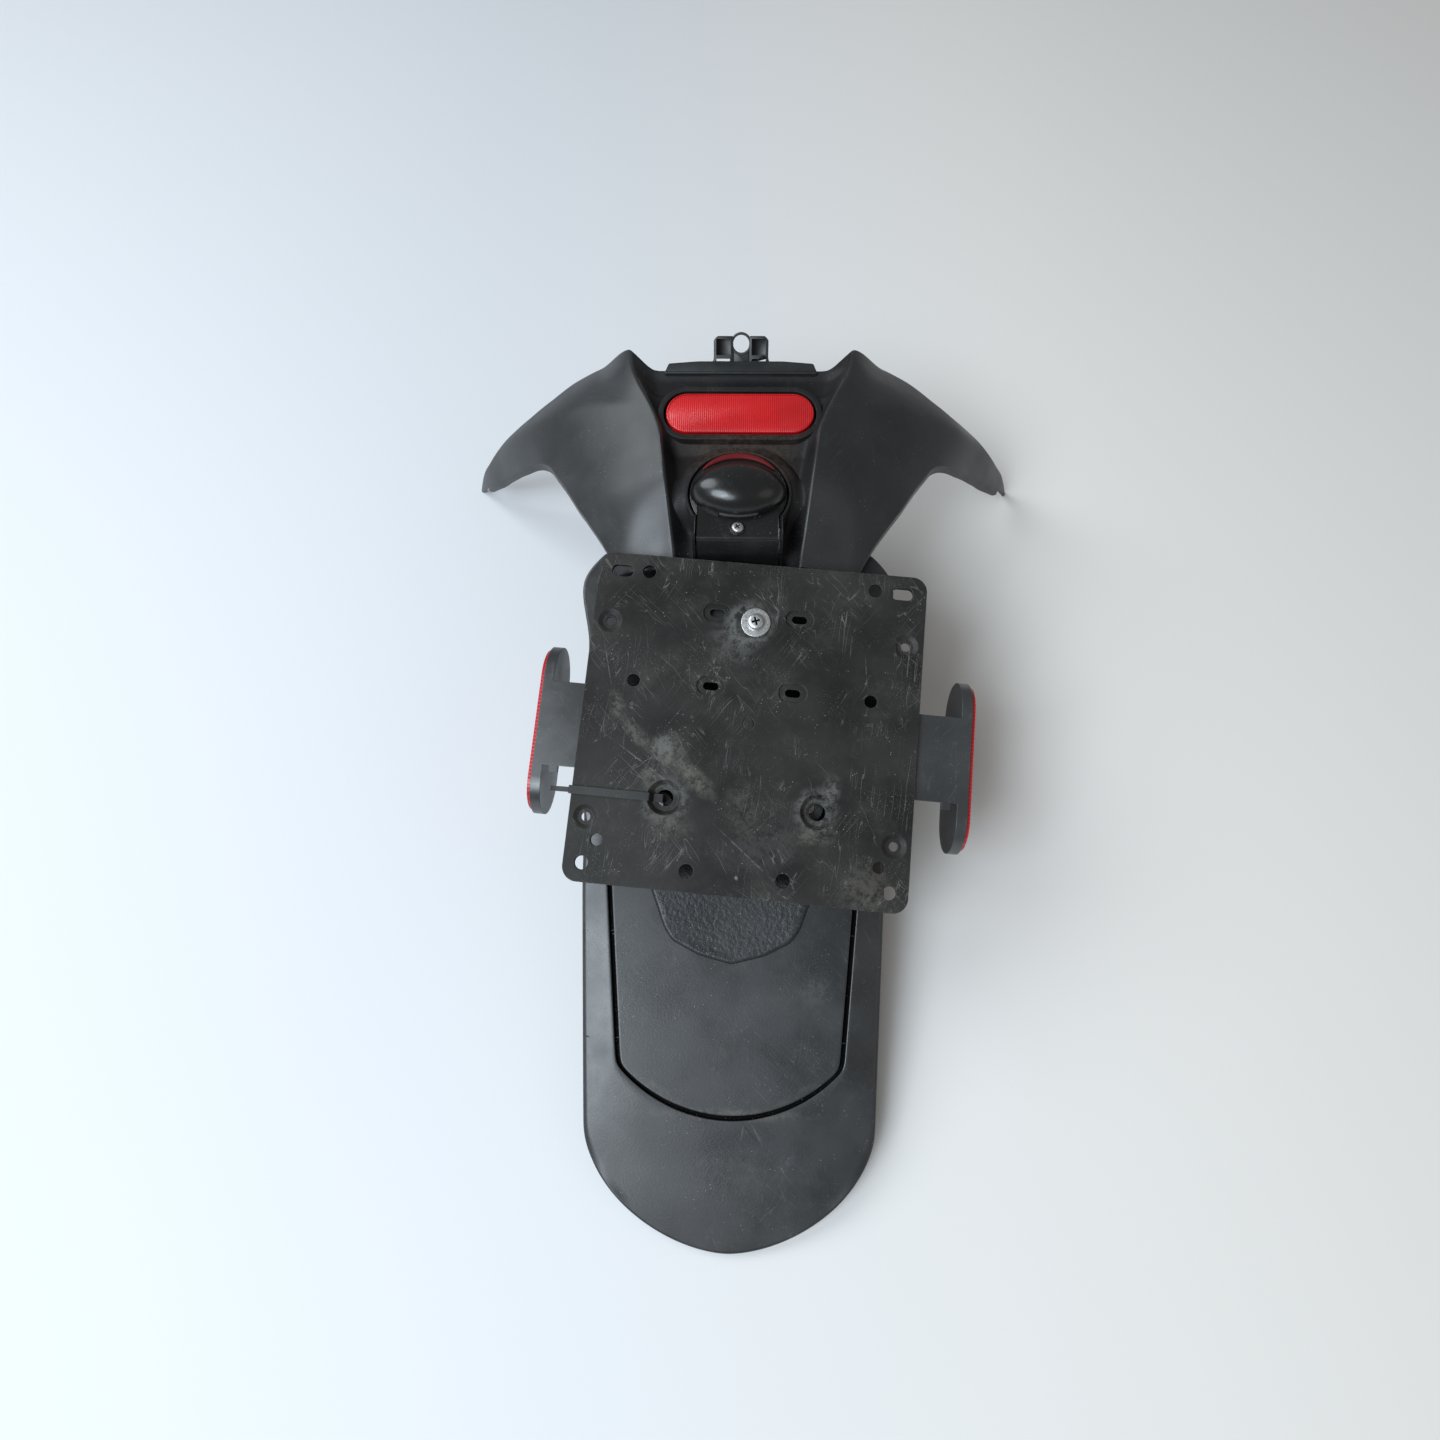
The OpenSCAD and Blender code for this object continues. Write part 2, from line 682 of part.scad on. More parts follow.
// Mounting bracket at the rear: an eyelet between two square sockets
bracket_at = [0, 243, 150];
bracket_tilt = 48;
eyelet_up = 12.5;
eyelet_r = 5.3;
eyelet_rim_r = 7;
eyelet_t = 4;
socket_x = 11.6;
socket_w = 12.6;
socket_up = 10.6;
socket_h = 13;
socket_wall = 1.5;
socket_depth = 11;
socket_front = 2;
socket_chamfer = 2.4;

module bracket_frame() {
    translate(bracket_at) rotate([bracket_tilt, 0, 0]) children();
}

// One socket's outline: outer top corner cut off, foot flared outwards
module socket_outline() {
    inner = socket_x - socket_w / 2;
    outer = socket_x + socket_w / 2;
    top = socket_up + socket_h / 2;
    low = socket_up - socket_h / 2;
    polygon([[inner, 0], [inner, top], [outer - socket_chamfer, top], [outer, top - socket_chamfer],
        [outer, low], [outer + 1.2, 0]]);
}

// Raised lip behind the trough, with slanted ends
lip_half = [[50, 231], [47.5, 239.5], [28, 241.5]];
lip_top_z = 154.4;
lip_t = 3;

module rear_bracket() {
    translate([0, 0, lip_top_z - lip_t]) linear_extrude(lip_t) polygon(mirrored(lip_half));
    translate([-20, 231, 146.8]) cube([40, 12, 5]);
    bracket_frame() {
        translate([-20, -4, -2.6]) cube([40, 6, 2.6]);
        translate([-7, -2, -eyelet_t + 1]) cube([14, eyelet_up - 4, eyelet_t - 0.6]);
        translate([0, eyelet_up, -eyelet_t + 1]) cylinder(r = eyelet_rim_r, h = eyelet_t, $fn = 64);
        for (side = [0, 1])
            mirror([side, 0, 0]) translate([0, 0, socket_front - socket_depth]) linear_extrude(socket_depth)
                socket_outline();
    }
}

module rear_bracket_holes() {
    bracket_frame() {
        translate([0, eyelet_up, -20]) cylinder(r = eyelet_r, h = 40, $fn = 64);
        for (side = [-1, 1]) {
            translate([side * socket_x, socket_up, socket_front - socket_depth / 2 + socket_wall])
                cube([socket_w - 2 * socket_wall, socket_h - 2 * socket_wall, socket_depth], center = true);
            translate([side * 11.9 - 4.7, 1.2, -20]) cube([9.4, 2.4, 40]);
        }
    }
}

module tail_cover() {
    color(black_plastic) placed() difference() {
        union() {
            difference() {
                tail_shell();
                reflector_place(pocket_floor_z) linear_extrude(40) racetrack(pocket_l, pocket_w);
                lamp_place(lamp_seat_z) cylinder(r = lamp_ring_r + 0.5, h = 40, $fn = 96);
                translate([-apron_half_w - 0.5, tail_front_y - 5, lamp_seat_z])
                    cube([2 * apron_half_w + 1, lamp_at.y - tail_front_y, 40]);
            }
            front_flange();
            wing_ribs();
            reflector_place(pocket_floor_z - pocket_wall) difference() {
                linear_extrude(5) racetrack(pocket_l + 2 * pocket_wall, pocket_w + 2 * pocket_wall);
                translate([0, 0, pocket_wall]) linear_extrude(10) racetrack(pocket_l, pocket_w);
            }
            reflector_place(pocket_floor_z) linear_extrude(pocket_rim_top - pocket_floor_z) difference() {
                racetrack(pocket_l + 2 * pocket_rim_w, pocket_w + 2 * pocket_rim_w);
                racetrack(pocket_l, pocket_w);
            }
            lamp_place(lamp_seat_z - 3) difference() {
                cylinder(r = lamp_ring_r + 0.5 + collar_w, h = collar_top - lamp_seat_z + 3, $fn = 96);
                translate([0, 0, -1]) cylinder(r = lamp_ring_r + 0.5, h = 40, $fn = 96);
                translate([-apron_half_w - 0.5, -60, -1]) cube([2 * apron_half_w + 1, 60, 40]);
                translate([-50, -50, -1]) cube([100, 38, 40]);
            }
            lamp_place(lamp_seat_z - 3.5) cylinder(r = lamp_ring_r + 2, h = 3.5, $fn = 96);
            lamp_screw_place(lamp_boss_z) cylinder(r = 5, h = lamp_seat_z - lamp_boss_z, $fn = 48);
            at_joins() cylinder(r = 6, h = 34, $fn = 48);
            rear_bracket();
        }
        rear_bracket_holes();
        reflector_place(120) cylinder(r = reflector_stud_r + 0.3, h = 60, $fn = 48);
        lamp_place(120) cylinder(r = 7.4, h = 40, $fn = 48);
        translate([grommet_at.x, grommet_at.y, 120]) cylinder(r = 4.2, h = 40, $fn = 48);
        lamp_screw_place(lamp_boss_z - 2) cylinder(r = 1.6, h = 40, $fn = 32);
        at_joins() translate([0, 0, -5]) cylinder(r = join_r, h = 30, $fn = 32);
        intersection() {
            deck_layer(0, 60);
            translate([-60, 90, 0]) cube([120, 60, big]);
        }
        translate([-big, -big, -big]) cube([2 * big, 2 * big, big]);
    }
}

// Centre reflector

module reflector_base() {
    color(gloss_black) placed() reflector_place(pocket_floor_z) {
        linear_extrude(backing_t) racetrack(reflector_l, reflector_w);
        translate([0, 0, -12]) cylinder(r = reflector_stud_r, h = 12.5, $fn = 32);
    }
}

module reflector_lens() {
    color(signal_red) placed() reflector_place(pocket_floor_z + backing_t) linear_extrude(reflector_t)
        racetrack(reflector_l, reflector_w);
}

module reflector_nut() {
    color(zinc) placed() reflector_place(pocket_floor_z - pocket_wall - 4)
        hex_nut(8, reflector_stud_r + 0.05, 4);
}

// Number plate lamp

hood_at = [0, 138.5];
hood_wall = 2;
window_w = 24;
window_h = 3.4;
lead_hole_r = 4.2;

module hood_dome(shrink) {
    translate([hood_at.x, hood_at.y, lamp_top_z]) intersection() {
        scale([hood_x - shrink, hood_y - shrink, hood_h - shrink]) sphere(r = 1, $fn = 36);
        translate([-50, -50, 0]) cube([100, 100, 50]);
    }
}

module lamp_base() {
    color(gloss_black) placed() difference() {
        union() {
            lamp_place(lamp_seat_z) cylinder(r = lamp_ring_r, h = lamp_top_z - lamp_seat_z, $fn = 96);
            across(apron_half_w) polygon([[142, lamp_seat_z], [142, lamp_top_z], [107, 147.4], [101.5, 124],
                [103.4, 124], [105.9, 135], [105.9, lamp_seat_z]]);
            for (side = [-1, 1]) translate([side * (apron_half_w - apron_rim_w / 2), 0, 0])
                across(apron_rim_w / 2) polygon([[122, lamp_seat_z + 1], [122, lamp_top_z + apron_rim_h],
                    [106.4, 147.4 + apron_rim_h], [105.7, 145.4], [107, lamp_seat_z + 1]]);
            lamp_screw_place(lamp_seat_z) cylinder(r = 4.9, h = lamp_screw_seat, $fn = 48);
        }
        lamp_place(120) cylinder(r = 7.2, h = 60, $fn = 48);
        translate([grommet_at.x, grommet_at.y, 120]) cylinder(r = lead_hole_r - 1.5, h = 60, $fn = 48);
        lamp_screw_place(lamp_boss_z - 6) cylinder(r = 2, h = 60, $fn = 32);
    }
}

module lamp_hood() {
    color(gloss_black) placed() difference() {
        hood_dome(0);
        translate([0, 0, -0.01]) hood_dome(hood_wall);
        translate([-window_w / 2, hood_at.y - hood_y - 2, lamp_top_z - 1])
            cube([window_w, hood_y, window_h + 1]);
    }
}

module lamp_lens() {
    color(clear_glass, 0.6) placed() intersection() {
        hood_dome(0.5);
        difference() {
            translate([-window_w / 2 + 0.1, hood_at.y - hood_y - 2, lamp_top_z])
                cube([window_w - 0.2, hood_y, window_h - 0.1]);
            hood_dome(hood_wall + 1);
        }
    }
}

// Dark red arc on the seat ring, behind the hood
rim_r = 38.7;
rim_w = 2;
rim_h = 2.4;
rim_arc = 80;
rim_at = [0, 123.8];

module lamp_rim() {
    color("#5a1216") placed() translate([rim_at.x, rim_at.y, lamp_top_z]) rotate([0, 0, 90 - rim_arc / 2])
        rotate_extrude(angle = rim_arc, $fn = 96) translate([rim_r - rim_w / 2, 0]) square([rim_w, rim_h]);
}

module lamp_socket() {
    color(dull_plastic) placed() lamp_place(134) difference() {
        union() {
            cylinder(r = 7, h = 17, $fn = 48);
            translate([0, 0, 0.3]) cylinder(r = 9, h = 2.5, $fn = 48);
        }
        translate([0, 0, 9]) cylinder(r = 4.3, h = 10, $fn = 48);
    }
}

module lamp_bulb() {
    color(clear_glass, 0.6) placed() lamp_place(143.2) {
        cylinder(r = 4.1, h = 11.8, $fn = 48);
        translate([0, 0, 11.8]) sphere(r = 4.1, $fn = 48);
    }
}

module lamp_screw() {
    color(zinc) placed() lamp_screw_place(lamp_seat_z + lamp_screw_seat) pan_screw(3.6, 2.2, 1.5, 18);
}

module lamp_grommet() {
    color("#202020") placed() translate([grommet_at.x, grommet_at.y, lamp_seat_z - 5]) difference() {
        union() {
            cylinder(r = lead_hole_r - 0.1, h = 4.9, $fn = 48);
            cylinder(r = lead_hole_r + 1.4, h = 1.4, $fn = 48);
        }
        translate([0, 0, -1]) cylinder(r = 2.6, h = 8, $fn = 48);
    }
}

// Fasteners below

module joining_screws() {
    color(zinc) placed() at_joins() translate([0, 0, -fender_t]) rotate([180, 0, 0])
        pan_screw(4.2, 2.6, join_r - 0.1, 16);
}

module clip_nuts() {
    color(zinc) placed() for (side = [-1, 1])
        plate_plane() translate([side * low_tower.x, low_tower.y, -low_tower_drop - 2.5 - 1.2]) difference() {
            cylinder(r = 5.6, h = 1.2, $fn = 6);
            translate([0, 0, -1]) cylinder(r = 2.6, h = 4, $fn = 32);
        }
}

// Cable tie: a flat strap from the left cup round the carrier's left edge

tie_w = 4.8;
tie_t = 1.3;
tie_y = big_cup.y - 0.5;
tie_edge_x = -half_plate - 1;
tie_path = [[-46.6, -8.2], [-46.6, -4.1], [-52, -4.1], [-54.2, 0.8], [tie_edge_x, 0.8], [tie_edge_x, -4],
    [-62, -4], [-58.5, -8.2], [-46.6, -8.2]];

module strap_run(p, q, t) {
    d = q - p;
    translate(p) rotate(atan2(d.y, d.x)) translate([0, -t / 2]) square([norm(d), t]);
    for (c = [p, q]) translate(c) circle(d = t, $fn = 24);
}

module cable_tie() {
    color("#0c0c0c") placed() plate_frame() {
        translate([0, tie_y, 0]) rotate([90, 0, 0]) {
            translate([0, 0, -tie_w / 2]) linear_extrude(tie_w)
                for (i = [0:len(tie_path) - 2]) strap_run(tie_path[i], tie_path[i + 1], tie_t);
            translate([0, 0, -1.5]) linear_extrude(3)
                strap_run([tie_edge_x + 0.5, -4.2], [tie_edge_x - 13, -9], 1.2);
        }
        translate([tie_edge_x + 3, tie_y - 3.8, -10]) cube([7, 7.6, 5.6]);
    }
}

tail_cover();
lower_fender();
reflector_lens();
reflector_base();
reflector_nut();
lamp_base();
lamp_hood();
lamp_rim();
lamp_lens();
lamp_bulb();
lamp_socket();
lamp_screw();
lamp_grommet();
plate_carrier();
reflector_stay();
side_lens(-1);  // left_side_lens
side_lens(1);  // right_side_lens
side_back(-1);  // left_side_back
side_back(1);  // right_side_back
side_nuts();
plate_screw();
plate_washer();
plate_nut();
joining_screws();
clip_nuts();
cable_tie();
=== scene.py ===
# %% [markdown]
# # The rear fender of a scooter
#
# A winged tail cover, a long tongue, a square plate carrier, a lamp and three red reflectors, all in
# black plastic that has seen some years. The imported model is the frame: every piece below is made
# in its own coordinates, and the finer pieces stand in for the plain ones.

# %% Load the frame
import math

import bpy
import numpy as np
from mathutils import Matrix, Vector


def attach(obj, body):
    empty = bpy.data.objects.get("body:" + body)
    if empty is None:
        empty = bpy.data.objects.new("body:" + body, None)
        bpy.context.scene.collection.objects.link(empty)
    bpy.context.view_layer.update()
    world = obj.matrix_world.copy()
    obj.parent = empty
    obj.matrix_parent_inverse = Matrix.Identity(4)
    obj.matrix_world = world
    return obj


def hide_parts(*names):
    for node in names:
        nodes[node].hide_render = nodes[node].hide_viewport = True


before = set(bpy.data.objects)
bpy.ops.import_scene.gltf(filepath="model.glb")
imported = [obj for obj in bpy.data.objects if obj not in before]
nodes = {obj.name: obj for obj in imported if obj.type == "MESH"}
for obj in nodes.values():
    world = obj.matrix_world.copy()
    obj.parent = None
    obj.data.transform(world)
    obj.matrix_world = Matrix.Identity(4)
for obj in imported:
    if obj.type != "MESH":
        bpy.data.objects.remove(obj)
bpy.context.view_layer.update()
scene = bpy.context.scene

# %% [markdown]
# ## Camera
#
# The camera stands 553 mm above the ground and looks down at 67 degrees. A focal length of 811
# pixels in a frame of 1440 is the same share of the sensor's width. A camera could be turned by eye
# until the outlines fit. Here the lens and the three angles are numbers, because they were worked
# out from pairs of points that lie mirrored on the real fender.

# %% Camera
FRAME_PIXELS = 1440
FOCAL_PIXELS = 811
SENSOR_MM = 36
PITCH_UP_FROM_NADIR, YAW, ROLL = 23, 4.3, -3.1
CAMERA_AT = (0.0054, -0.17225, 0.553)

camera_data = bpy.data.cameras.new("camera")
camera_data.sensor_width = SENSOR_MM
camera_data.lens = SENSOR_MM * FOCAL_PIXELS / FRAME_PIXELS
camera_data.clip_start, camera_data.clip_end = 0.01, 30
camera = bpy.data.objects.new("camera", camera_data)
scene.collection.objects.link(camera)
camera.matrix_world = (
    Matrix.Translation(CAMERA_AT)
    @ Matrix.Rotation(math.radians(YAW), 4, "Z")
    @ Matrix.Rotation(math.radians(PITCH_UP_FROM_NADIR), 4, "X")
    @ Matrix.Rotation(math.radians(ROLL), 4, "Z")
)
scene.camera = camera
print("lens", round(camera_data.lens, 3), "mm")

# %% [markdown]
# ## Meshes from whole arrays
#
# All points are written in millimetres in the drawing's own coordinates, where the middle of the
# carrier is near y = 0. A finished mesh moves 11.25 mm along +Y and shrinks to metres. The mouldings
# could be modelled by hand with modifiers, but a shape that is a formula on a grid stays easy to
# change: each shell below is an array of points and a list of faces, and one function makes the mesh.

# %% Mesh helpers
TO_METRES = 0.001
SLIDE_Y = 11.25
SHARP_ANGLE = math.radians(42)


def quads(ids):
    """Four-sided faces between neighbours of a grid of point numbers, counter-clockwise from above."""
    return np.stack([ids[:-1, :-1], ids[:-1, 1:], ids[1:, 1:], ids[1:, :-1]], -1).reshape(-1, 4)


def closed(ids, axis):
    """The grid with its first row or column repeated at the end, so that the faces go all round."""
    return np.concatenate([ids, np.take(ids, [0], axis)], axis)


def joined(*parts):
    """Several (points, faces) shells as one."""
    points, faces, start = [], [], 0
    for part_points, part_faces in parts:
        points.append(part_points)
        faces.extend([[int(i) + start for i in face] for face in part_faces])
        start += len(part_points)
    return np.vstack(points), faces


def piece_of(name, shell):
    """A mesh object of a (points, faces) shell, moved to the frame and smooth except at sharp edges."""
    points, faces = shell
    mesh = bpy.data.meshes.new(name)
    metres = (points + [0, SLIDE_Y, 0]) * TO_METRES
    mesh.from_pydata(metres.tolist(), [], [list(map(int, face)) for face in faces])
    mesh.polygons.foreach_set("use_smooth", np.ones(len(mesh.polygons), bool))
    mesh.set_sharp_from_angle(angle=SHARP_ANGLE)
    mesh.update()
    thing = bpy.data.objects.new(name, mesh)
    scene.collection.objects.link(thing)
    return thing


def cut(thing, *shells):
    """Takes closed shells out of a piece and keeps what is left as its mesh."""
    knives = [piece_of("knife", shell) for shell in shells]
    for knife in knives:
        step = thing.modifiers.new("cut", "BOOLEAN")
        step.operation, step.solver, step.object = "DIFFERENCE", "MANIFOLD", knife
    bpy.context.view_layer.update()
    seen = thing.evaluated_get(bpy.context.evaluated_depsgraph_get())
    mesh = bpy.data.meshes.new_from_object(seen)
    thing.modifiers.clear()
    thing.data = mesh
    mesh.set_sharp_from_angle(angle=SHARP_ANGLE)
    for knife in knives:
        bpy.data.objects.remove(knife)
    return thing


def finish(thing, material, slot, *stands_for):
    """Gives a piece its finish and its place on the one rigid body."""
    thing.data.materials.clear()
    thing.data.materials.append(material)
    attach(thing, "root")
    if stands_for:
        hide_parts(*stands_for)
    print(f"{thing.name}: {len(thing.data.polygons)} faces")
    return thing


def face_centres(thing):
    """The middle of each face, in the drawing's millimetres."""
    centres = np.empty(3 * len(thing.data.polygons))
    thing.data.polygons.foreach_get("center", centres)
    return centres.reshape(-1, 3) / TO_METRES - [0, SLIDE_Y, 0]


def second_finish(thing, material, chosen):
    """Puts another material on the chosen faces of a piece."""
    thing.data.materials.append(material)
    thing.data.polygons.foreach_set("material_index", chosen.astype(np.int32))
    print(f"{thing.name}: {material.name} on {int(chosen.sum())} faces")


print("drawing to frame:", SLIDE_Y, "mm along +Y, then times", TO_METRES)

# %% [markdown]
# ## Outlines, slabs and sweeps
#
# Nearly every edge of a moulding is a small round, and that thin line of light is what makes plastic
# look moulded. A Bevel modifier could add it, but it fails where cut edges crowd. Here the rounds are
# in the outlines and in the rings that a slab is built from.
#
# A corner at C with its neighbours A and B becomes the curve (1-t)^2 P + 2t(1-t) C + t^2 Q, where P
# and Q lie a radius away from C towards A and B. Slabs, tubes and rims are rings of points.

# %% Outline helpers
def filleted(corners, radius, steps=5):
    """A closed outline with each corner rounded."""
    c = np.asarray(corners, float)
    radius = np.broadcast_to(np.asarray(radius, float), len(c))[:, None]
    back, ahead = np.roll(c, 1, 0) - c, np.roll(c, -1, 0) - c
    p = c + back / np.linalg.norm(back, axis=1, keepdims=True) * radius
    q = c + ahead / np.linalg.norm(ahead, axis=1, keepdims=True) * radius
    t = np.linspace(0, 1, steps)[None, :, None]
    return ((1 - t) ** 2 * p[:, None] + 2 * t * (1 - t) * c[:, None] + t**2 * q[:, None]).reshape(-1, 2)


def outward(outline):
    """Unit vectors that point out of a counter-clockwise outline."""
    along = np.roll(outline, -1, 0) - np.roll(outline, 1, 0)
    along = along / np.maximum(np.linalg.norm(along, axis=1, keepdims=True), 1e-9)
    return np.stack([along[:, 1], -along[:, 0]], -1)


def racetrack(length, width, steps=24):
    """Outline with round ends: two half circles of radius width/2, length-width apart."""
    t = np.linspace(-math.pi / 2, math.pi / 2, steps)
    right = np.stack([(length - width) / 2 + width / 2 * np.cos(t), width / 2 * np.sin(t)], -1)
    return np.vstack([right, -right])


def disc(radius, steps=64):
    """A circle as points, counter-clockwise from +X."""
    t = np.linspace(0, 2 * math.pi, steps, endpoint=False)
    return radius * np.stack([np.cos(t), np.sin(t)], -1)


def oblong(x0, x1, y0, y1):
    """The four corners of a rectangle, counter-clockwise."""
    return np.array([[x0, y0], [x1, y0], [x1, y1], [x0, y1]], float)


def rings_shell(rings, loop=False):
    """Shell through rings of points, R by N by 3, each counter-clockwise as seen from the first one.
    A loop joins the last ring to the first, as round a tyre; otherwise both ends are capped."""
    count, around = rings.shape[:2]
    ids = np.arange(count * around).reshape(count, around)
    grid = closed(ids, 1)
    faces = quads(closed(grid, 0) if loop else grid)[:, ::-1].tolist()
    if not loop:
        faces += [ids[0].tolist(), ids[-1][::-1].tolist()]
    return rings.reshape(-1, 3), faces


EDGE_TURN = np.linspace(0, math.pi / 2, 5)
FLAT_FROM = 1.8


def slab(outline, low, high, edge=0.5, axes="XYZ"):
    """A plate of the outline from low to high, whose two rims are quarter circles of the edge radius.
    At the angle w a rim's ring lies edge (1 - sin w) inside the outline and edge (1 - cos w) below the
    face. The flat face starts at 1.8 times the edge, so that its shading stays flat."""
    out = outward(outline)
    step_in = edge * (1 - np.sin(EDGE_TURN))
    inset = np.concatenate([[edge * FLAT_FROM], step_in[::-1], step_in, [edge * FLAT_FROM]])
    depth = np.concatenate([[0], edge * (1 - np.cos(EDGE_TURN[::-1]))])
    height = np.concatenate([high - depth, low + depth[::-1]])
    flat = outline[None] - out[None] * inset[:, None, None]
    rings = np.concatenate([flat, np.broadcast_to(height[:, None, None], flat.shape[:2] + (1,))], -1)
    points, faces = rings_shell(rings)
    order = ["XYZ".index(a) for a in axes]
    turned = np.empty_like(points)
    turned[:, order] = points
    if np.linalg.det(np.eye(3)[order]) < 0:
        faces = [face[::-1] for face in faces]
    return turned, faces


def rim(outline, profile, z=0.0):
    """A ring whose section is the profile: its first number goes outwards from the outline, its second up."""
    out = outward(outline)
    flat = outline[None] + out[None] * profile[:, None, :1]
    height = np.broadcast_to(profile[:, None, 1:] + z, flat.shape[:2] + (1,))
    return rings_shell(np.concatenate([flat, height], -1)[::-1], loop=True)


def swept(path, side, section):
    """A bar along the path's points. Section point (u, v) lies u along the side vector and v up."""
    rings = path[:, None] + side[:, None] * section[None, :, :1] + [0, 0, 1] * section[None, :, 1:]
    return rings_shell(rings)


def turned_by(axis, degrees):
    """A 3 by 3 matrix that turns about an axis."""
    return np.array(Matrix.Rotation(math.radians(degrees), 3, axis))


def placed(shell, turn, at):
    """A shell turned by a matrix and then moved."""
    points, faces = shell
    return points @ turn.T + at, faces


# Frames of the carrier, of the towers below it, and of the bracket at the rear
PLATE_CENTRE = np.array([8.1, 0.9, 109.1])
PLANE_TURN = turned_by("X", 14)
PLATE_TURN = PLANE_TURN @ turned_by("Z", -4.5)
PLANE_CENTRE = PLATE_CENTRE * [0, 1, 1]
BRACKET_AT = np.array([0, 243, 150])
BRACKET_TURN = turned_by("X", 48)
print("carrier leans by 14 degrees about", PLATE_CENTRE.tolist())

# %% [markdown]
# ## Finishes
#
# Shared effects are node groups, each built once: grain, dust, scratches and edge wear. A group
# puts out only masks and heights, and the material's own shader takes them in. Painted images would
# do the same for one part, but noise on the piece's own coordinates has no seams and no resolution.

# %% Node helpers
def add(tree, kind, links=None, **settings):
    """A node with its settings, and its inputs set to values or linked to sockets."""
    node = tree.nodes.new(kind)
    for key, value in settings.items():
        setattr(node, key, value)
    for key, value in (links or {}).items():
        socket = node.inputs[key]
        if isinstance(value, bpy.types.NodeSocket):
            tree.links.new(value, socket)
        else:
            socket.default_value = value
    return node


def maths(tree, operation, a, b=0.5, clamp=False):
    """The output of a Math node."""
    return add(tree, "ShaderNodeMath", {0: a, 1: b}, operation=operation, use_clamp=clamp).outputs[0]


def remap(tree, value, low, high, to_low=0.0, to_high=1.0):
    """Smooth step from low to high."""
    return add(tree, "ShaderNodeMapRange", {"Value": value, "From Min": low, "From Max": high,
               "To Min": to_low, "To Max": to_high}, interpolation_type="SMOOTHSTEP").outputs["Result"]


def blend_colour(tree, amount, first, second):
    """A colour between the first and the second, which are sockets or plain numbers."""
    node = add(tree, "ShaderNodeMix", data_type="RGBA")
    for socket, value in ((node.inputs[0], amount), (node.inputs[6], first), (node.inputs[7], second)):
        if isinstance(value, bpy.types.NodeSocket):
            tree.links.new(value, socket)
        else:
            socket.default_value = value if isinstance(value, float) else (*value, 1)
    return node.outputs[2]


def noise(tree, vector, scale, detail=4.0, rough=0.55):
    """The grey output of a Noise Texture, whose scale counts lumps per metre."""
    return add(tree, "ShaderNodeTexNoise", {"Vector": vector, "Scale": scale, "Detail": detail,
               "Roughness": rough}).outputs["Fac"]


def new_group(name, inputs, outputs):
    """An empty node group with named number inputs and outputs."""
    tree = bpy.data.node_groups.new(name, "ShaderNodeTree")
    for label, value in inputs.items():
        socket = tree.interface.new_socket(label, in_out="INPUT", socket_type="NodeSocketFloat")
        socket.default_value = value
    for label in outputs:
        tree.interface.new_socket(label, in_out="OUTPUT", socket_type="NodeSocketFloat")
    return tree, add(tree, "NodeGroupInput").outputs, add(tree, "NodeGroupOutput").inputs


def own_coordinates(tree):
    """The piece's own metres, which stay with it when it moves."""
    return add(tree, "ShaderNodeTexCoord").outputs["Object"]


# %% [markdown]
# Grain is two noises: pits about a millimetre wide with finer ones in them, which blur the
# reflections, and a slow waviness, which makes a wide highlight wander as it does on thin plastic.

# %% Grain: fine pits of a moulded skin over a slow waviness
grain, given, out = new_group("grain", {"Scale": 900.0, "Waviness": 0.4}, ["Height", "Cloud"])
where = own_coordinates(grain)
pits = noise(grain, where, given["Scale"], 2.0)
cloud = noise(grain, where, 26.0, 5.0)
wave = maths(grain, "MULTIPLY", noise(grain, where, 9.0, 1.0), given["Waviness"])
grain.links.new(maths(grain, "ADD", pits, wave), out["Height"])
grain.links.new(cloud, out["Cloud"])

# %% [markdown]
# Dust lies only where a face looks up, so its mask is multiplied by a smooth step of the normal's Z.
# The specks are the cores of Voronoi cells, in two sizes, and a noise keeps only some of them.

# %% Dust: patches that lie on faces that look up, broken by small specks
dust, given, out = new_group("dust", {"Amount": 0.5, "Size": 40.0}, ["Mask", "Specks"])
where = own_coordinates(dust)
own = add(dust, "ShaderNodeNewGeometry").outputs["Normal"]
up = add(dust, "ShaderNodeSeparateXYZ", {0: own}).outputs["Z"]
facing = remap(dust, up, 0.25, 0.95)
patch = remap(dust, noise(dust, where, given["Size"], 9.0, 0.7), 0.45, 0.85)
fine = noise(dust, where, 1500.0, 3.0)
mask = maths(dust, "MULTIPLY", maths(dust, "MULTIPLY", patch, facing), given["Amount"])
dust.links.new(maths(dust, "MULTIPLY", mask, remap(dust, fine, 0.3, 0.7, 0.35, 1.0)), out["Mask"])
speck = add(dust, "ShaderNodeTexVoronoi", {"Vector": where, "Scale": 420.0}).outputs["Distance"]
grit = add(dust, "ShaderNodeTexVoronoi", {"Vector": where, "Scale": 950.0}).outputs["Distance"]
few = remap(dust, noise(dust, where, 60.0, 3.0), 0.48, 0.7)
grit_few = remap(dust, noise(dust, where, 34.0, 6.0, 0.7), 0.46, 0.66, 0.0, 0.4)
specks = maths(dust, "MAXIMUM", maths(dust, "MULTIPLY", remap(dust, speck, 0.13, 0.06), few),
               maths(dust, "MULTIPLY", remap(dust, grit, 0.2, 0.1), grit_few))
dust.links.new(maths(dust, "MULTIPLY", specks, facing), out["Specks"])

# %% [markdown]
# Noise that is stretched up to twenty times along one direction has long level lines. Where its
# value is within the width of one half, a thin line shows. The mapping turns the axes before it stretches
# them; the other way round, all four sets of lines would run the same way.

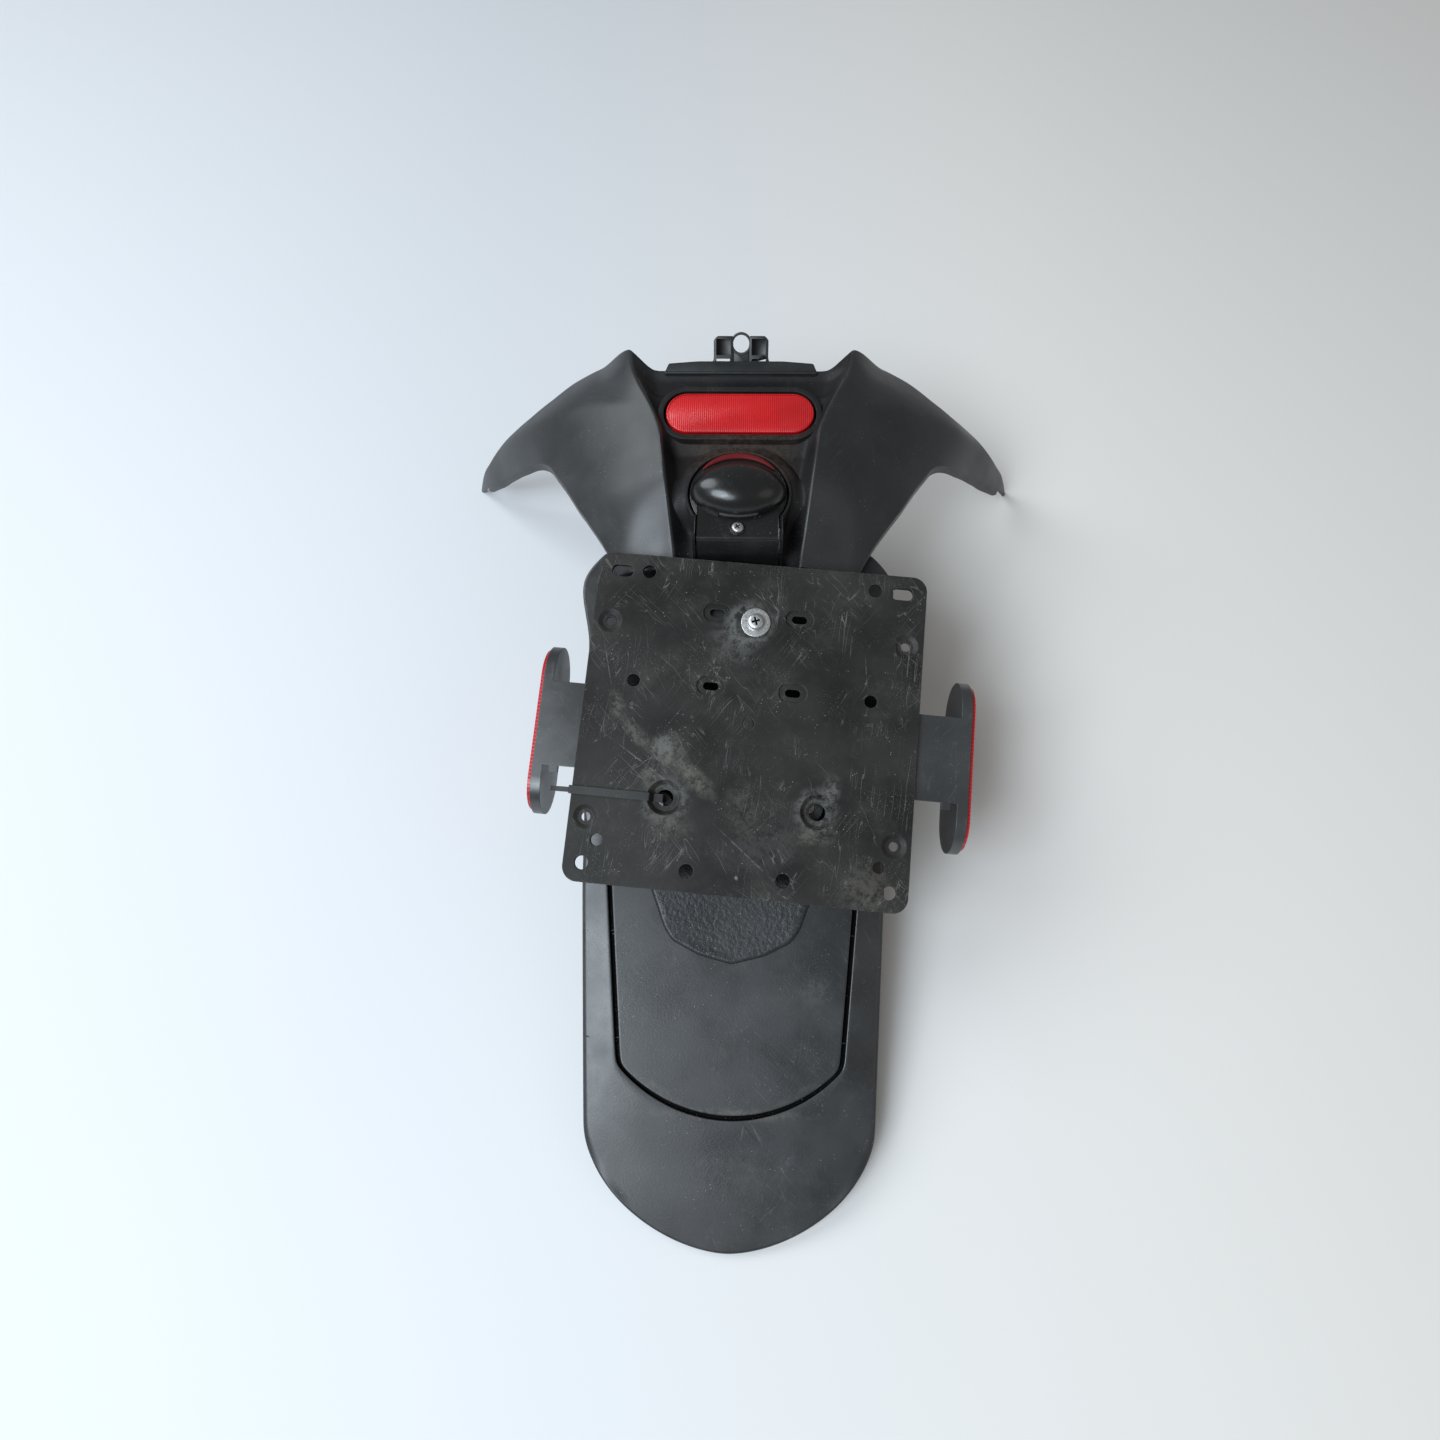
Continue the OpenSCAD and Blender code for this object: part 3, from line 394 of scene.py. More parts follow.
# %% Scratches: thin bands where stretched noise crosses its middle, in four directions
SCRATCH_RUNS = ((0.9, (16, 210, 60)), (-0.75, (14, 240, 60)), (2.2, (30, 170, 60)), (1.45, (12, 230, 60)))
scratches, given, out = new_group("scratches", {"Amount": 0.5, "Width": 0.006}, ["Mask"])
where = own_coordinates(scratches)
total = None
for turn_z, stretch in SCRATCH_RUNS:
    size = tuple(1 / s for s in stretch)
    lying = add(scratches, "ShaderNodeMapping", {"Vector": where, "Rotation": (0, 0, turn_z), "Scale": size},
                vector_type="TEXTURE")
    band = maths(scratches, "ABSOLUTE", maths(scratches, "SUBTRACT",
                 noise(scratches, lying.outputs[0], 1.0, 1.5, 0.4), 0.5))
    line = maths(scratches, "LESS_THAN", band, given["Width"])
    part = remap(scratches, noise(scratches, where, 22.0 + 9 * turn_z, 3.0), 0.5, 0.66)
    line = maths(scratches, "MULTIPLY", line, part)
    total = line if total is None else maths(scratches, "MAXIMUM", total, line)
scratches.links.new(maths(scratches, "MULTIPLY", total, given["Amount"]), out["Mask"])

# %% [markdown]
# Handling rubs the edges pale. The Bevel node gives the normal that a rounded edge would have, so
# where it differs from the true one there is an edge nearby. A painted mask could do it as well,
# but it would have to be painted again after each change of shape.

# %% Edge wear: where the rounded normal leaves the face's own normal, broken by noise
edge_wear, given, out = new_group("edge_wear", {"Radius": 0.0009, "Amount": 0.6}, ["Mask"])
where = own_coordinates(edge_wear)
bevel = add(edge_wear, "ShaderNodeBevel", {"Radius": given["Radius"]}, samples=4).outputs[0]
own = add(edge_wear, "ShaderNodeNewGeometry").outputs["Normal"]
dot = add(edge_wear, "ShaderNodeVectorMath", {0: bevel, 1: own}, operation="DOT_PRODUCT").outputs["Value"]
leaving = remap(edge_wear, dot, 0.985, 0.88)
broken = remap(edge_wear, noise(edge_wear, where, 300.0, 6.0), 0.35, 0.62)
wear = maths(edge_wear, "MULTIPLY", leaving, broken)
edge_wear.links.new(maths(edge_wear, "MULTIPLY", wear, given["Amount"]), out["Mask"])
print("groups:", [group.name for group in bpy.data.node_groups])

# %% [markdown]
# The mouldings are all black, and yet no two of them look alike. The wings and the tongue have a fine
# satin grain, the carrier is dull and scuffed by a number plate, the lamp's cover is glossy, and the
# trough between the ridges keeps old brown dirt and is darkened by painted shade. So one function
# makes every plastic, and what differs is its grain, shine, dirt and painted shade. Single marks are
# ovals at places of the drawing.

# %% The plastics
DUST, SPECK = (0.2, 0.19, 0.17), (0.3, 0.29, 0.27)


def with_group(tree, group, **values):
    """The outputs of a shared group, placed with its own values."""
    return add(tree, "ShaderNodeGroup", values, node_tree=group).outputs


def spot(tree, centre_mm, radii_mm, turn_z=0.0, hollow=0.0):
    """1 inside an oval of the drawing's coordinates, falling softly to 0 at its rim. With a hollow
    it is a ring that starts at that share of the radius."""
    centre = [centre_mm[0] * TO_METRES, (centre_mm[1] + SLIDE_Y) * TO_METRES, centre_mm[2] * TO_METRES]
    away = add(tree, "ShaderNodeVectorMath", {0: own_coordinates(tree), 1: centre}, operation="SUBTRACT")
    turned = add(tree, "ShaderNodeVectorRotate", {"Vector": away.outputs[0], "Angle": -turn_z},
                 rotation_type="Z_AXIS")
    size = [1 / (r * TO_METRES) for r in radii_mm]
    scaled = add(tree, "ShaderNodeVectorMath", {0: turned.outputs[0], 1: size}, operation="MULTIPLY")
    length = add(tree, "ShaderNodeVectorMath", {0: scaled.outputs[0]}, operation="LENGTH").outputs["Value"]
    inside = remap(tree, length, 1.0, 0.25 + 0.6 * hollow)
    return maths(tree, "MULTIPLY", inside, remap(tree, length, hollow * 0.8, hollow)) if hollow else inside


def empty_material(name):
    """A new material, its node tree and its shader."""
    material = bpy.data.materials.new(name)
    material.use_nodes = True
    tree = material.node_tree
    return material, tree, tree.nodes["Principled BSDF"]


def plastic(name, base, roughness, grain_scale=900.0, grain_height=0.00004, dusting=0.3, scratching=0.4,
            wear=0.5, round_edge=0.0, coat=0.0, shine=0.5, clouding=0.12, specks=1.0, spots=(), tints=()):
    """Moulded plastic: slow clouds in the colour, dust on top, scratches and pale worn edges.
    Each spot is (centre, radii, turn, colour, strength), with a hollow share for a ring.
    Tints are the same without the broken edge; the trough's tints are painted shade."""
    material, tree, shader = empty_material(name)
    skin = with_group(tree, grain, Scale=grain_scale)
    dirt = with_group(tree, dust, Amount=dusting)
    lines = with_group(tree, scratches, Amount=scratching)
    edges = with_group(tree, edge_wear, Amount=wear)
    dark, light = (tuple(c * share for c in base) for share in (1 - clouding, 1 + clouding))
    worn = tuple(min(1, c * 2.2 + 0.02) for c in base)
    scratched = tuple(min(1, c * 3 + 0.05) for c in base)
    colour = blend_colour(tree, remap(tree, skin["Cloud"], 0.3, 0.7), dark, light)
    for centre, radii, turn_z, tint, strength in tints:
        share = maths(tree, "MULTIPLY", spot(tree, centre, radii, turn_z), strength)
        colour = blend_colour(tree, share, colour, tint)
    mottle = remap(tree, noise(tree, own_coordinates(tree), 190.0, 9.0, 0.8), 0.4, 0.58)
    for centre, radii, turn_z, tint, strength, *hollow in spots:
        here = maths(tree, "MULTIPLY", spot(tree, centre, radii, turn_z, *hollow), mottle)
        colour = blend_colour(tree, maths(tree, "MULTIPLY", here, strength), colour, tint)
    colour = blend_colour(tree, edges["Mask"], colour, worn)
    colour = blend_colour(tree, lines["Mask"], colour, scratched)
    colour = blend_colour(tree, dirt["Mask"], colour, DUST)
    specks_here = maths(tree, "MULTIPLY", dirt["Specks"], specks, clamp=True)
    colour = blend_colour(tree, specks_here, colour, SPECK)
    tree.links.new(colour, shader.inputs["Base Color"])
    rough = maths(tree, "ADD", remap(tree, skin["Cloud"], 0.3, 0.7, roughness - 0.06, roughness + 0.07),
                  maths(tree, "MULTIPLY", dirt["Mask"], 0.5))
    rough = maths(tree, "ADD", rough, maths(tree, "MULTIPLY", lines["Mask"], 0.25), clamp=True)
    tree.links.new(rough, shader.inputs["Roughness"])
    shader.inputs["Coat Weight"].default_value = coat
    shader.inputs["Coat Roughness"].default_value = 0.08
    shader.inputs["Specular IOR Level"].default_value = shine
    height = maths(tree, "SUBTRACT", skin["Height"], maths(tree, "MULTIPLY", lines["Mask"], 0.6))
    bump = add(tree, "ShaderNodeBump", {"Height": height, "Strength": 1.0, "Distance": grain_height})
    if round_edge:
        soft = add(tree, "ShaderNodeBevel", {"Radius": round_edge}, samples=6)
        tree.links.new(soft.outputs[0], bump.inputs["Normal"])
    tree.links.new(bump.outputs[0], shader.inputs["Normal"])
    return material


# %% Colours of the marks, all linear
BROWN = (0.06, 0.04, 0.03)
EARTH = (0.1, 0.094, 0.082)
PALE_MARK = (0.12, 0.12, 0.116)
WHITE_MARK = (0.3, 0.3, 0.3)
BLACK_GOUGE = (0.006, 0.006, 0.006)
# The next two are painted shade: the shadow in the gaps beside the lamp's apron, and the shade deep in the
# trough.
GAP_PAINTED_SHADOW = (0.004, 0.004, 0.005)
TROUGH_PAINTED_SHADE = (0.003, 0.002, 0.002)

# %% Tail cover: satin wings, and the dull trough with brown dirt round the lamp and painted shade
trough_dirt = [
    ((4, 176, 150), (52, 13, 16), 0, BROWN, 0.6),
    ((24, 150, 146), (16, 34, 14), -0.3, BROWN, 0.5),
    ((-20, 166, 146), (22, 16, 14), 0.5, BROWN, 0.4),
]
# Painted shade: a dark band in the dip behind the reflector, shade over the trough between the lamp and the
# reflector, shadow in the gaps beside the apron, and a brownish darkening over the trough's middle.
trough_painted_shade = [
    ((0, 222, 150), (60, 11, 14), 0, (0.006, 0.006, 0.008), 0.8),
    ((0, 172, 146), (70, 20, 18), 0, TROUGH_PAINTED_SHADE, 1.0),
    ((-35, 128, 126), (9, 42, 22), -0.1, GAP_PAINTED_SHADOW, 0.9),
    ((35, 128, 126), (9, 42, 22), 0.1, GAP_PAINTED_SHADOW, 0.9),
    ((0, 176, 146), (56, 30, 12), 0, (0.03, 0.021, 0.019), 0.6),
]
shell_plastic = plastic("shell plastic", (0.021, 0.0225, 0.024), 0.4, grain_scale=1100.0,
                        grain_height=0.00002, dusting=0.07, scratching=0.12, wear=0.3)
# The trough's plastic is darker than the shell's as painted shade. It is also duller, and it carries the
# brown dirt and the painted shade of the trough.
trough_plastic_with_painted_shade = plastic("trough plastic with painted shade", (0.015, 0.0145, 0.0155), 0.5, grain_scale=1100.0,
                         grain_height=0.00002, dusting=0.07, scratching=0.12, wear=0.3, shine=0.22,
                         spots=trough_dirt, tints=trough_painted_shade)

# %% Tongue: earth along the groove's bow, a pale smudge, and a gouge with two scratches near the tip
tongue_marks = [
    ((0, -211, 25), (66, 5, 12), 0, EARTH, 0.6),
    ((-44, -197, 25), (26, 4, 12), -0.5, EARTH, 0.55),
    ((44, -197, 25), (26, 4, 12), 0.5, EARTH, 0.45),
    ((50, -142, 45), (13, 11, 14), 0.4, PALE_MARK, 0.3),
    ((0, -243, 15), (48, 26, 12), 0.2, PALE_MARK, 0.12),
    ((12, -220, 23), (1.1, 12, 8), 0.75, BLACK_GOUGE, 0.9),
    ((17, -222, 23), (0.7, 9, 8), 0.5, PALE_MARK, 0.6),
    ((8, -221, 23), (0.7, 7, 8), -0.2, PALE_MARK, 0.5),
]
tongue_plastic = plastic("tongue plastic", (0.023, 0.0245, 0.0265), 0.36, grain_scale=950.0,
                         grain_height=0.00005, dusting=0.12, scratching=0.16, wear=0.3, shine=0.62,
                         clouding=0.2, spots=tongue_marks)
groove_shade = plastic("groove shade", (0.0035, 0.0035, 0.0038), 0.8, grain_height=0.00002,
                       dusting=0.05, scratching=0.0, wear=0.0, shine=0.05)
pad_plastic = plastic("pad plastic", (0.019, 0.0205, 0.0225), 0.42, grain_scale=420.0,
                      grain_height=0.0004, dusting=0.2, scratching=0.15, wear=1.0, shine=0.5, specks=1.5)

# %% Carrier: smears of earth from the left edge to the left cup, pale scuffs round the cups and the
# washer, long thin scratches, and two white nicks
carrier_marks = [
    ((-70, 12, 110), (7, 12, 20), 0.35, EARTH, 0.8),
    ((-58, -5, 107), (6, 17, 20), 0.75, EARTH, 0.8),
    ((-39, -15, 105), (14, 15, 20), 0.5, EARTH, 1.0),
    ((-42, -12, 105), (8, 10, 20), 0.3, PALE_MARK, 0.9),
    ((-23, -30, 101), (8, 22, 20), 0.8, EARTH, 0.9),
    ((-50, -29, 101), (6, 9, 20), 0.2, EARTH, 0.9),
    ((-40, -43, 98), (18, 18, 20), 0, PALE_MARK, 0.6, 0.5),
    ((-38, -56, 95), (19, 11, 20), -0.2, EARTH, 0.5),
    ((48, -47, 97), (16, 16, 20), 0, PALE_MARK, 0.8, 0.45),
    ((57, -36, 100), (7, 12, 20), -0.2, PALE_MARK, 0.8),
    ((48, -61, 94), (16, 8, 20), 0, EARTH, 0.8),
    ((8, 61, 124), (18, 18, 14), 0, PALE_MARK, 0.9, 0.52),
    ((-2, 50, 121), (18, 22, 14), 0.5, PALE_MARK, 0.45),
    ((5, -48, 97), (14, 24, 20), 0.1, EARTH, 0.4),
    ((76, -90, 86), (20, 22, 20), 0, EARTH, 0.6),
    ((-50, -24, 103), (0.55, 42, 30), 0.95, PALE_MARK, 0.9),
    ((12, -76, 91), (0.7, 42, 30), 0.85, PALE_MARK, 0.8),
    ((-77, 37, 118), (0.5, 20, 30), 0.2, PALE_MARK, 0.8),
    ((78, 33, 117), (0.5, 12, 30), 0.05, PALE_MARK, 0.8),
    ((-15.3, 96, 132.8), (0.8, 4, 10), 0, WHITE_MARK, 0.8),
    ((2.2, -85.3, 87.6), (1.6, 1.6, 10), 0, WHITE_MARK, 0.8),
    ((20, -66, 92), (34, 18, 20), 0.4, PALE_MARK, 0.2),
]
carrier_plastic = plastic("carrier plastic", (0.0205, 0.0198, 0.0185), 0.45, grain_scale=800.0,
                          grain_height=0.00003, dusting=0.2, scratching=0.8, wear=1.0, round_edge=0.0006,
                          shine=0.22, clouding=0.3, specks=1.6, spots=carrier_marks)

# %% Stay, lamp, cable tie and grommet
stay_plastic = plastic("stay plastic", (0.023, 0.025, 0.027), 0.34, grain_height=0.00002, dusting=0.12,
                       scratching=0.25, wear=0.5, round_edge=0.0005, shine=1.0)
gloss_plastic = plastic("gloss plastic", (0.007, 0.007, 0.0075), 0.27, grain_scale=1200.0,
                        grain_height=0.000005, dusting=0.06, scratching=0.12, wear=0.3,
                        round_edge=0.0005, coat=0.15)
nylon = plastic("nylon", (0.014, 0.014, 0.015), 0.35, grain_scale=700.0, grain_height=0.00001,
                dusting=0.15, scratching=0.15, wear=0.3, round_edge=0.0003)
soft_rubber = plastic("rubber", (0.02, 0.02, 0.02), 0.75, grain_scale=600.0, grain_height=0.00003,
                      dusting=0.2, scratching=0.1, wear=0.1, round_edge=0.0003)
print("plastics:", [material.name for material in bpy.data.materials])

# %% [markdown]
# A reflector is a clear red cap over rows of tiny prisms that throw light back. The prisms could be
# modelled, but at 1.3 mm apart they are only seen as fine stripes, so a triangle wave drives both
# the colour and the bump, and a thin coat gives the smooth outer face.

# %% Red reflectors: prisms run across the long side, below a clear glossy face
def prismatic(name, base, along, period_mm):
    """Deep red with a row of prisms: a triangle wave drives both the colour and the bump.
    The wave texture makes 20 scale / (2 pi) bands to the metre, which gives the scale of a period."""
    material, tree, shader = empty_material(name)
    where = own_coordinates(tree)
    turned = add(tree, "ShaderNodeMapping", {"Vector": where, "Rotation": along})
    scale = 1000 / period_mm / 20 * math.pi * 2
    wave = add(tree, "ShaderNodeTexWave", {"Vector": turned.outputs[0], "Scale": scale},
               wave_type="BANDS", bands_direction="X", wave_profile="TRI").outputs["Fac"]
    cloud = noise(tree, where, 34.0, 4.0)
    bright = tuple(min(1, c * 1.35 + 0.01) for c in base)
    dull = tuple(c * 0.55 for c in base)
    colour = blend_colour(tree, remap(tree, wave, 0.1, 0.9), base, bright)
    colour = blend_colour(tree, remap(tree, cloud, 0.35, 0.75, 0.0, 0.35), colour, dull)
    dirt = with_group(tree, dust, Amount=0.12)
    colour = blend_colour(tree, dirt["Mask"], colour, (0.5, 0.2, 0.18))
    tree.links.new(colour, shader.inputs["Base Color"])
    lines = with_group(tree, scratches, Amount=0.35)
    rough = maths(tree, "ADD", 0.32, maths(tree, "MULTIPLY", lines["Mask"], 0.4))
    tree.links.new(rough, shader.inputs["Roughness"])
    shader.inputs["Specular IOR Level"].default_value = 0.35
    shader.inputs["Coat Weight"].default_value = 0.25
    shader.inputs["Coat Roughness"].default_value = 0.08
    bump = add(tree, "ShaderNodeBump", {"Height": wave, "Strength": 0.5, "Distance": 0.0003})
    tree.links.new(bump.outputs[0], shader.inputs["Normal"])
    return material


red_prisms = prismatic("red prisms", (0.5, 0.006, 0.009), (0, 0, 0), 1.3)
side_prisms = prismatic("side prisms", (0.46, 0.014, 0.02), (0, 0, math.pi / 2), 2.2)
dark_red = plastic("dark red", (0.12, 0.01, 0.012), 0.5, grain_scale=500.0, grain_height=0.00006,
                   dusting=0.1, scratching=0.1, wear=0.2, shine=0.15)
print("reds:", red_prisms.name, side_prisms.name, dark_red.name)


# %% [markdown]
# The screw and its washer are zinc plated. Small crystals differ a little in grey and in roughness,
# and brown stains are duller than the metal. The lamp's window is clear with a film of dust.

# %% Zinc, and the clear window
def zinc_plate(name, roughness):
    """Bright zinc: crystals of two greys, dull brown stains and a fine bump below rounded edges."""
    material, tree, shader = empty_material(name)
    where = own_coordinates(tree)
    cells = add(tree, "ShaderNodeTexVoronoi", {"Vector": where, "Scale": 2200.0}).outputs["Color"]
    grey = add(tree, "ShaderNodeSeparateColor", {0: cells}).outputs[0]
    colour = blend_colour(tree, remap(tree, grey, 0.0, 1.0), (0.56, 0.57, 0.58), (0.64, 0.65, 0.65))
    stain = remap(tree, noise(tree, where, 400.0, 6.0, 0.7), 0.5, 0.75)
    colour = blend_colour(tree, stain, colour, (0.34, 0.31, 0.27))
    tree.links.new(colour, shader.inputs["Base Color"])
    shader.inputs["Metallic"].default_value = 1.0
    rough = maths(tree, "ADD", remap(tree, grey, 0.0, 1.0, roughness, roughness + 0.12),
                  maths(tree, "MULTIPLY", stain, 0.3), clamp=True)
    tree.links.new(rough, shader.inputs["Roughness"])
    soft = add(tree, "ShaderNodeBevel", {"Radius": 0.0003}, samples=6)
    bump = add(tree, "ShaderNodeBump", {"Height": noise(tree, where, 2500.0, 2.0), "Strength": 0.4,
               "Distance": 0.00004, "Normal": soft.outputs[0]})
    tree.links.new(bump.outputs[0], shader.inputs["Normal"])
    return material


bright_zinc = zinc_plate("bright zinc", 0.34)
# Painted shade for the dark walls of the screws' cross recesses.
recess_painted_shade = plastic("recess painted shade", (0.012, 0.012, 0.011), 0.7, grain_height=0.00001,
                       dusting=0.1, scratching=0.1, wear=0.0, shine=0.2)

clear_window, tree, shader = empty_material("clear window")
film = remap(tree, noise(tree, own_coordinates(tree), 500.0, 4.0), 0.3, 0.8, 0.04, 0.3)
tree.links.new(film, shader.inputs["Roughness"])
tree.links.new(blend_colour(tree, film, (0.93, 0.95, 0.96), (0.8, 0.78, 0.72)), shader.inputs["Base Color"])
shader.inputs["Transmission Weight"].default_value = 0.9
shader.inputs["IOR"].default_value = 1.49
print("materials:", len(bpy.data.materials), "groups:", len(bpy.data.node_groups))

# %% [markdown]
# ## Tail cover: the winged shell
#
# The most curved piece. It could be a subdivided cage, but a formula for the height over the plan is
# easier to fit to the photo, because each part of it can be moved alone. Inside the ridge line r(y)
# the height rises from the trough's floor to the ridge. At the distance d outside the ridge it falls
# by 0.38 d + 0.0038 d^2, and faster towards the tips, behind the wings and at their front edges.

# %% Tail shell: height over the plan
TAIL_WALL = 2.8
FRONT_Y, REAR_Y, HALF_SPAN = 100.5, 250.0, 224.0
BEND_Y = 106.0


def ease(t):
    """Smooth step from 0 at t = 0 to 1 at t = 1."""
    c = np.clip(t, 0, 1)
    return c * c * (3 - 2 * c)


def bent(x, knots, blur=0.0):
    """A broken line through the knots that goes on straight past its ends, with its bends softened
    over the blur by a mean of nine shifted copies."""
    xs, ys = np.array(knots, float).T
    past = 80.0
    first, last = (ys[1] - ys[0]) / (xs[1] - xs[0]), (ys[-1] - ys[-2]) / (xs[-1] - xs[-2])
    xs = np.concatenate([[xs[0] - past], xs, [xs[-1] + past]])
    ys = np.concatenate([[ys[0] - past * first], ys, [ys[-1] + past * last]])
    if not blur:
        return np.interp(x, xs, ys)
    return np.mean([np.interp(x + o, xs, ys) for o in np.linspace(-blur, blur, 9)], 0)


def ridge_x(y):
    """Distance of each ridge from the middle, which flares out towards the rear."""
    return 39 + 0.13 * (y - 100) + 15 * ease((y - 175) / 65)


def ridge_z(y):
    """Height of the ridges, highest at y = 205."""
    return 160.5 - 0.0019 * (y - 205) ** 2


def trough_side(y):
    """Width of the slope between the trough's floor and a ridge."""
    return bent(y, [[106, 12], [141, 10], [190, 6.7], [230, 16], [250, 17]], 4)


def floor_z(y):
    """Height of the trough's floor, with a step up at the reflector and a dip behind it."""
    return bent(y, [[106, 135], [111, 138], [172, 143], [180, 151], [211, 152.5], [216, 149.5],
                    [229, 149], [234.5, 153.5], [300, 153.5]], 1.5)


def wing_edge(row_y):
    """Half width of the shell at each row, out to the wing's tip at the last one."""
    return bent(row_y, [[106, 79], [118, 85.3], [126, 90.2], [150, 106.5], [172, 119], [193, 132],
                        [199, 138.7], [205, 147.7], [210, 156.1], [226, 179.4], [238, 200.9],
                        [250, HALF_SPAN]], 2.5)


def rear_edge_y(a):
    """The rear edge over the distance a from the middle."""
    return bent(a, [[0, 234.5], [56, 234.5], [60, 236.5], [73, 250], [99, 260.5], [118, 256],
                    [133, 248.5], [152, 245], [167, 245.5], [182, 247], [200, 250.5],
                    [HALF_SPAN, 262]], 2)


def front_edge_y(a):
    """The wing's front edge over the distance a from the middle."""
    return bent(a, [[100, 172], [119, 172], [132, 193], [139.5, 199.3], [149.5, 205.6], [159, 211],
                    [185.5, 229.2], [207.5, 243.9], [HALF_SPAN, 262]])


def front_drop(a, y):
    """The shell sinks towards the carrier, by 14 mm at most, and by half of that outside the ridges."""
    return 14 * ease((152 - y) / 46) * (1 - 0.5 * ease((a - 45) / 30))


def bend_share(row_y):
    """How far a row bends to the shape of the rear edge: nearly 0 in front and 1 at the last row."""
    return np.clip((row_y - BEND_Y) / (REAR_Y - BEND_Y), 0, 1) ** 6


def tail_height(x, y):
    """Height of the shell's top face, before its creases are softened."""
    a, r = np.abs(x), ridge_x(y)
    f = r - trough_side(y)
    d = np.maximum(a - r, 0)
    inner = floor_z(y) + (ridge_z(y) - floor_z(y)) * np.clip((a - f) / (r - f), 0, 1) ** 1.6
    fall = 0.38 * d + 0.0038 * d**2 + 0.012 * np.maximum(0, d - 125) ** 2
    past = y - 200 - 0.35 * (a - 57)
    band = 0.3 * (past + np.sqrt(past**2 + 9)) / 2 * ease(d / 25)
    near = np.clip(1 - (y - front_edge_y(a)) / 24, 0, 1.5)
    roll = 15 * ease((a - 135) / 50) * near**2
    return np.where(a < r, inner, ridge_z(y) - fall - band - roll) - front_drop(a, y)


SOFTENING = [(dx, dy) for dx in (-0.9, -0.3, 0.3, 0.9) for dy in (-0.8, 0, 0.8)]


def tail_z(x, y):
    """The height with its creases rounded: the mean of twelve heights close by."""
    return np.mean([tail_height(x + dx, y + dy) for dx, dy in SOFTENING], 0)


def tail_normal(x, y, h=0.3):
    """Unit normals of the top face, from heights h apart on both sides."""
    slope_x = (tail_z(x + h, y) - tail_z(x - h, y)) / (2 * h)
    slope_y = (tail_z(x, y + h) - tail_z(x, y - h)) / (2 * h)
    n = np.stack([-slope_x, -slope_y, np.ones_like(slope_x)], -1)
    return n / np.linalg.norm(n, axis=-1, keepdims=True)


print("ridges:", round(ridge_x(FRONT_Y), 1), "to", round(ridge_x(REAR_Y), 1), "mm off the middle")


# %% [markdown]
# Rows run across from wing tip to wing tip, and the columns crowd at the ridges and at the borders.
# A Solidify modifier would give the sheet square edges. Here the half thickness is T/2 sin(w) at
# T/2 (1 - cos(w)) from the border, so the edge is round and both faces share their border points.

# %% Tail shell: the closed sheet
def sheet_shell(middle, normal, half):
    """Two grids half a wall above and below the middle one, which share their border points."""
    rows, cols = half.shape
    top = np.arange(rows * cols).reshape(rows, cols)
    under = top.copy()
    under[1:-1, 1:-1] = rows * cols + np.arange((rows - 2) * (cols - 2)).reshape(rows - 2, cols - 2)
    shift = normal * half[..., None]
    points = np.vstack([(middle + shift).reshape(-1, 3), (middle - shift)[1:-1, 1:-1].reshape(-1, 3)])
    return points, np.vstack([quads(top), quads(under)[:, ::-1]])


edge_in = TAIL_WALL / 2 * (1 - np.cos(EDGE_TURN))
edge_share = np.sin(EDGE_TURN)
inner_rows = np.linspace(FRONT_Y + 2.4, REAR_Y - 3.5, 118)
row_y = np.concatenate([FRONT_Y + edge_in, inner_rows, REAR_Y - 1.6 * edge_in[::-1]])
row_share = np.concatenate([edge_share, np.ones(len(inner_rows)), edge_share[::-1]])
ridge = ridge_x(row_y)[:, None]
foot = ridge - trough_side(row_y)[:, None]
border = wing_edge(row_y)[:, None]
floor_part = foot * np.linspace(0, 1, 19)[None, :-1]
side_part = foot + (ridge - foot) * np.linspace(0, 1, 13)[None, :-1]
wing_part = ridge + (border - 2.4 - ridge) * np.linspace(0, 1, 92)[None]
half_columns = np.hstack([floor_part, side_part, wing_part, border - edge_in[::-1]])
across_x = np.hstack([-half_columns[:, :0:-1], half_columns])
half_share = np.concatenate([np.ones(half_columns.shape[1] - len(edge_share)), edge_share[::-1]])
column_share = np.concatenate([half_share[:0:-1], half_share])
down_y = row_y[:, None] + bend_share(row_y[:, None]) * (rear_edge_y(np.abs(across_x)) - REAR_Y)
top_points = np.stack([across_x, down_y, tail_z(across_x, down_y)], -1)
shell_normal = tail_normal(across_x, down_y)
tail_half = TAIL_WALL / 2 * row_share[:, None] * column_share[None]
middle = top_points - shell_normal * TAIL_WALL / 2
tail_shell = piece_of("tail_shell", sheet_shell(middle, shell_normal, tail_half))

# %% [markdown]
# The reflector's pocket and the lamp's seat are cut out of the shell by Boolean modifiers, one for
# each knife. Their cut edges are covered by a bead round the pocket and by a raised collar behind the
# lamp. What lies between the ridges gets the duller plastic, which is darker with painted shade.

# %% Cut the pocket, the lamp's seat and the apron's bed
REFLECTOR_AT, LAMP_AT = np.array([0, 196.5]), np.array([0, 139.6])
POCKET_L, POCKET_W, POCKET_FLOOR = 97.0, 31.0, 147.0
LAMP_R, LAMP_SEAT, LAMP_TOP = 30.2, 142.5, 148.0
APRON_X = 24.9

